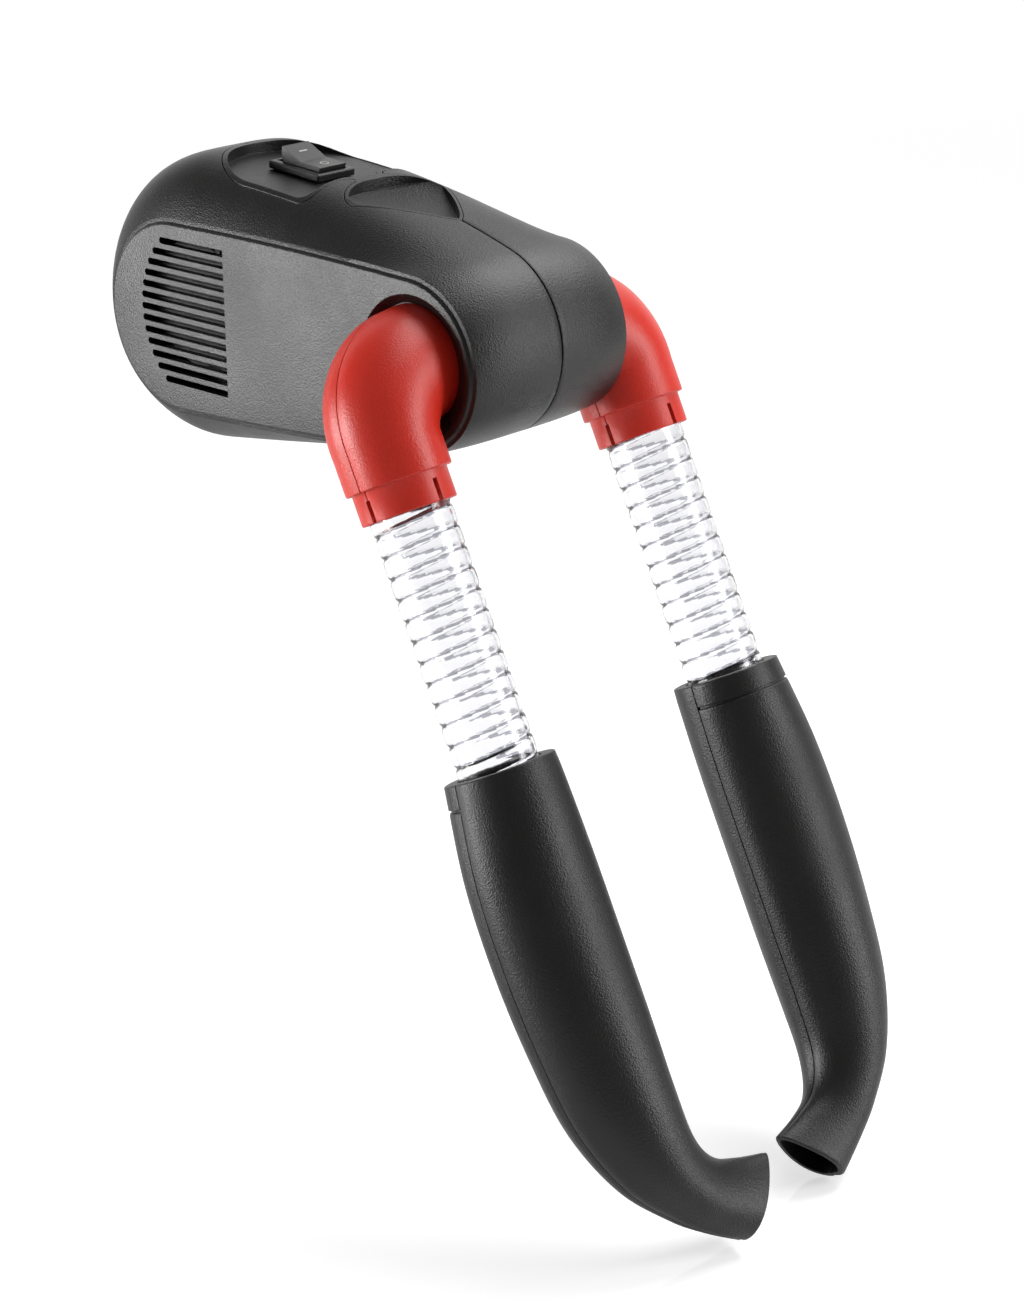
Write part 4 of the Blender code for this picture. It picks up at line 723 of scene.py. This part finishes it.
for arm, arm_side in (("left", -1), ("right", 1)):
    for side in (-1, 1):
        outer, inner = [], []
        for inward, below, heading, radius, bore in elbow_stations:
            turn = math.radians(heading)
            outward = (-math.sin(turn), math.cos(turn))
            outer.append(half_section((inward, -below), outward, radius, radius, 0.0, side, 0.0))
            inner.append(half_section((inward, -below), outward, bore, bore, 0.0, side, 0.0))
        where = "front" if side * arm_side > 0 else "rear"
        name = f"elbow_{arm}_{where}"
        piece = shell_from(f"{name}_shell", outer, inner, arm_frames[arm], f"{arm}_elbow", name, red)
        for spot, (x, y) in (("middle", (0.0, side * 13.0)), ("outer", (-13.0, 0.0)), ("inner", (13.0, 0.0))):
            across = (0.75 * MM, 3.0 * MM) if spot == "middle" else (3.0 * MM, 0.75 * MM)
            bm = bmesh.new()
            bmesh.ops.create_cube(bm, size=2.0)
            bmesh.ops.scale(bm, vec=(across[0], across[1], 3.6 * MM), verts=bm.verts)
            bmesh.ops.translate(bm, vec=(x * MM, y * MM, -collar_end + 2.7 * MM), verts=bm.verts)
            mesh = bpy.data.meshes.new("finger_gap")
            bm.to_mesh(mesh)
            bm.free()
            cutter = bpy.data.objects.new(f"{name}_gap_{spot}", mesh)
            bpy.context.scene.collection.objects.link(cutter)
            cutter.matrix_world = arm_frames[arm]
            cutter.hide_render = True
            cutter.hide_viewport = True
            cutter.parent = piece
            cutter.matrix_parent_inverse = piece.matrix_world.inverted()
            gap = piece.modifiers.new(spot, "BOOLEAN")
            gap.operation = "DIFFERENCE"
            gap.object = cutter
            gap.solver = "EXACT"

# ---------------------------------------------------------------- hoses
# Clear PVC hoses with a screw-shaped rib: broad rounded bands 6 mm apart with a narrow step between.  Each is pushed
# into the elbow's collar at the top and the nozzle's socket at the bottom.  The wall bends what is seen through it.
clear = bpy.data.materials.new("clear_pvc")
clear.use_nodes = True
tree = clear.node_tree
shader = tree.nodes["Principled BSDF"]
shader.inputs["Transmission Weight"].default_value = 1.0
shader.inputs["IOR"].default_value = 1.46
shader.inputs["Base Color"].default_value = (0.90, 0.90, 0.915, 1.0)
hose_place = tree.nodes.new("ShaderNodeTexCoord")
haze = tree.nodes.new("ShaderNodeTexNoise")
haze.inputs["Scale"].default_value = 160.0
haze.inputs["Detail"].default_value = 3.0
tree.links.new(hose_place.outputs["Object"], haze.inputs["Vector"])
haze_range = tree.nodes.new("ShaderNodeMapRange")
haze_range.inputs["To Min"].default_value = 0.01
haze_range.inputs["To Max"].default_value = 0.09
tree.links.new(haze.outputs["Fac"], haze_range.inputs["Value"])
tree.links.new(haze_range.outputs["Result"], shader.inputs["Roughness"])
waves = tree.nodes.new("ShaderNodeBump")
waves.inputs["Strength"].default_value = 0.25
waves.inputs["Distance"].default_value = 0.0004
tree.links.new(haze.outputs["Fac"], waves.inputs["Height"])
tree.links.new(waves.outputs["Normal"], shader.inputs["Normal"])

# The faces on the rib's narrow step get a dark tint. This is painted shade that stands in for the dark lines the
# step's refraction draws along the hose.
painted_step_shade = clear.copy()
painted_step_shade.name = "clear_pvc_painted_step_shade"
painted_step_shader = painted_step_shade.node_tree.nodes["Principled BSDF"]
painted_step_shader.inputs["Base Color"].default_value = (0.17, 0.17, 0.20, 1.0)

hose_start = 29.8 * MM
hose_end = 121.0 * MM
hose_radius = 11.7 * MM
rib_pitch = 6.0 * MM
around = 72
levels = 228


def band(share):
    """How far the wall stands in at a share of the rib's pitch, for the outside and the inside."""
    step = math.exp(-(((share - 0.5) / 0.085) ** 2))
    crown = math.cos(2 * math.pi * share)
    return 0.50 * MM * step + 0.16 * MM * (1 - crown) / 2, 1.25 * MM - 0.45 * MM * step


for arm in ("left", "right"):
    bm = bmesh.new()
    outside, inside = [], []
    for level in range(levels + 1):
        below = hose_start + (hose_end - hose_start) * level / levels
        outer_ring, inner_ring = [], []
        for k in range(around):
            angle = 2 * math.pi * k / around
            share = (below / rib_pitch + k / around) % 1.0
            dip, wall = band(share)
            end = min(level, levels - level)
            wall = max(wall, 0.6 * MM) if end else 0.6 * MM
            for ring, radius in ((outer_ring, hose_radius - dip), (inner_ring, hose_radius - dip - wall)):
                ring.append(bm.verts.new((radius * math.cos(angle), radius * math.sin(angle), -below)))
        outside.append(outer_ring)
        inside.append(inner_ring)
    for rings, flip in ((outside, False), (inside, True)):
        for ring, following in zip(rings, rings[1:]):
            for k in range(around):
                face = (ring[k - 1], following[k - 1], following[k], ring[k])
                made = bm.faces.new(face[::-1] if flip else face)
                below = -(ring[k].co.z + following[k].co.z) / 2
                share = (below / rib_pitch + (k - 0.5) / around) % 1.0
                # Outside faces on the narrow step take the painted step shade.
                made.material_index = 1 if not flip and abs(share - 0.5) < 0.055 else 0
    for end, flip in ((0, False), (-1, True)):
        for k in range(around):
            face = (outside[end][k - 1], outside[end][k], inside[end][k], inside[end][k - 1])
            bm.faces.new(face[::-1] if flip else face)
    bmesh.ops.recalc_face_normals(bm, faces=bm.faces)
    mesh = bpy.data.meshes.new("ribbed_hose")
    bm.to_mesh(mesh)
    bm.free()
    mesh.shade_smooth()
    mesh.materials.append(clear)
    mesh.materials.append(painted_step_shade)
    piece = bpy.data.objects.new(f"ribbed_hose_{arm}", mesh)
    bpy.context.scene.collection.objects.link(piece)
    piece.matrix_world = turned_frames[arm]
    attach(piece, f"{arm}_nozzle")
    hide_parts(f"hose_{arm}")

# ---------------------------------------------------------------- nozzles
# Black hollow nozzles shaped like a ski pole's grip, each clipped together from two halves.  One half runs plain to
# the top, and the other has a shallow groove below the rim.  The tip bends inward to a pear-shaped mouth.
nozzle_top = 112.1 * MM
sections = (
    ((15.9, 0.0), (-15.9, 0.0), 15.9, 0.0),
    ((16.4, 6.5), (-17.0, 6.5), 16.2, 0.0),
    ((17.1, 28.0), (-20.3, 28.0), 16.9, 0.0),
    ((17.2, 53.0), (-20.9, 53.0), 17.0, 0.0),
    ((17.2, 78.0), (-19.2, 78.0), 16.6, 0.0),
    ((17.1, 98.0), (-15.5, 101.0), 15.6, 0.02),
    ((18.2, 113.5), (-6.5, 121.0), 13.8, 0.12),
    ((23.5, 122.5), (5.5, 134.5), 11.8, 0.30),
    ((32.5, 126.5), (15.5, 142.5), 10.2, 0.45),
    ((42.6, 129.1), (25.0, 148.5), 9.3, 0.55),
)
knots = [(*inner, *outer, depth, pinch) for inner, outer, depth, pinch in sections]


def section_at(place):
    """The section at a place along the nozzle, counted in knots, on a smooth curve through every knot."""
    k = min(int(place), len(knots) - 2)
    t = place - k
    around_it = (knots[max(k - 1, 0)], knots[k], knots[k + 1], knots[min(k + 2, len(knots) - 1)])
    return [
        0.5 * (2 * b + (c - a) * t + (2 * a - 5 * b + 4 * c - d) * t * t + (3 * b - a - 3 * c + d) * t**3)
        for a, b, c, d in zip(*around_it)
    ]


def nozzle_ring(section, side, drawn):
    inner_u, inner_d, outer_u, outer_d, depth = [value * MM for value in section[:5]]
    centre = ((inner_u + outer_u) / 2, -(inner_d + outer_d) / 2)
    reach = Vector(((outer_u - inner_u) / 2, -(outer_d - inner_d) / 2))
    half = reach.length
    return half_section(centre, reach / half, half, depth, section[5], side, drawn)


places = [0.0, 0.03, 0.09]
places += [0.12 + 0.88 * k / 6 for k in range(7)]
places += [1.0 + 8.0 * k / 72 for k in range(1, 72)]
places += [8.93, 8.975, 9.0]
rounding = {0.0: 0.6, 0.03: 0.2, 0.09: 0.0, 8.93: 0.0, 8.975: 0.18, 9.0: 0.6}
for arm, arm_side in (("left", -1), ("right", 1)):
    for side in (-1, 1):
        grooved = side > 0
        outer, inner = [], []
        for place in places:
            row = section_at(place)
            drawn = rounding.get(place, 0.0) * MM
            within = nozzle_ring(row, side, 2.0 * MM)
            if place <= 1.0:
                bore = collar_bore + (0.5 * MM if place == 0.0 else 0.0)
                within = half_section((0.0, -row[1] * MM), (-1.0, 0.0), bore, bore, 0.0, side, 0.0)
            outer.append(nozzle_ring(row, side, drawn))
            inner.append(within)
            if place == 1.0 and grooved:
                for depth, below in ((0.15, 0.0), (0.6, 0.12), (0.6, 0.75), (0.15, 0.9), (0.0, 1.1)):
                    lower = [row[0], row[1] + below, row[2], row[3] + below, row[4], 0.0]
                    outer.append(nozzle_ring(lower, side, depth * MM))
                    inner.append(half_section((0.0, -lower[1] * MM), (-1.0, 0.0), bore, bore, 0.0, side, 0.0))
        where = "front" if side * arm_side > 0 else "rear"
        name = f"nozzle_{arm}_{where}"
        matrix = turned_frames[arm] @ Matrix.Translation((0.0, 0.0, -nozzle_top))
        piece = shell_from(f"{name}_shell", outer, inner, matrix, f"{arm}_nozzle", name, black)

# ---------------------------------------------------------------- sizes
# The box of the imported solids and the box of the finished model, side by side.
size_lines = [list(map(float, cad_low)), list(map(float, cad_high))]
new_low, new_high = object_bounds()
size_lines += [list(map(float, new_low)), list(map(float, new_high))]
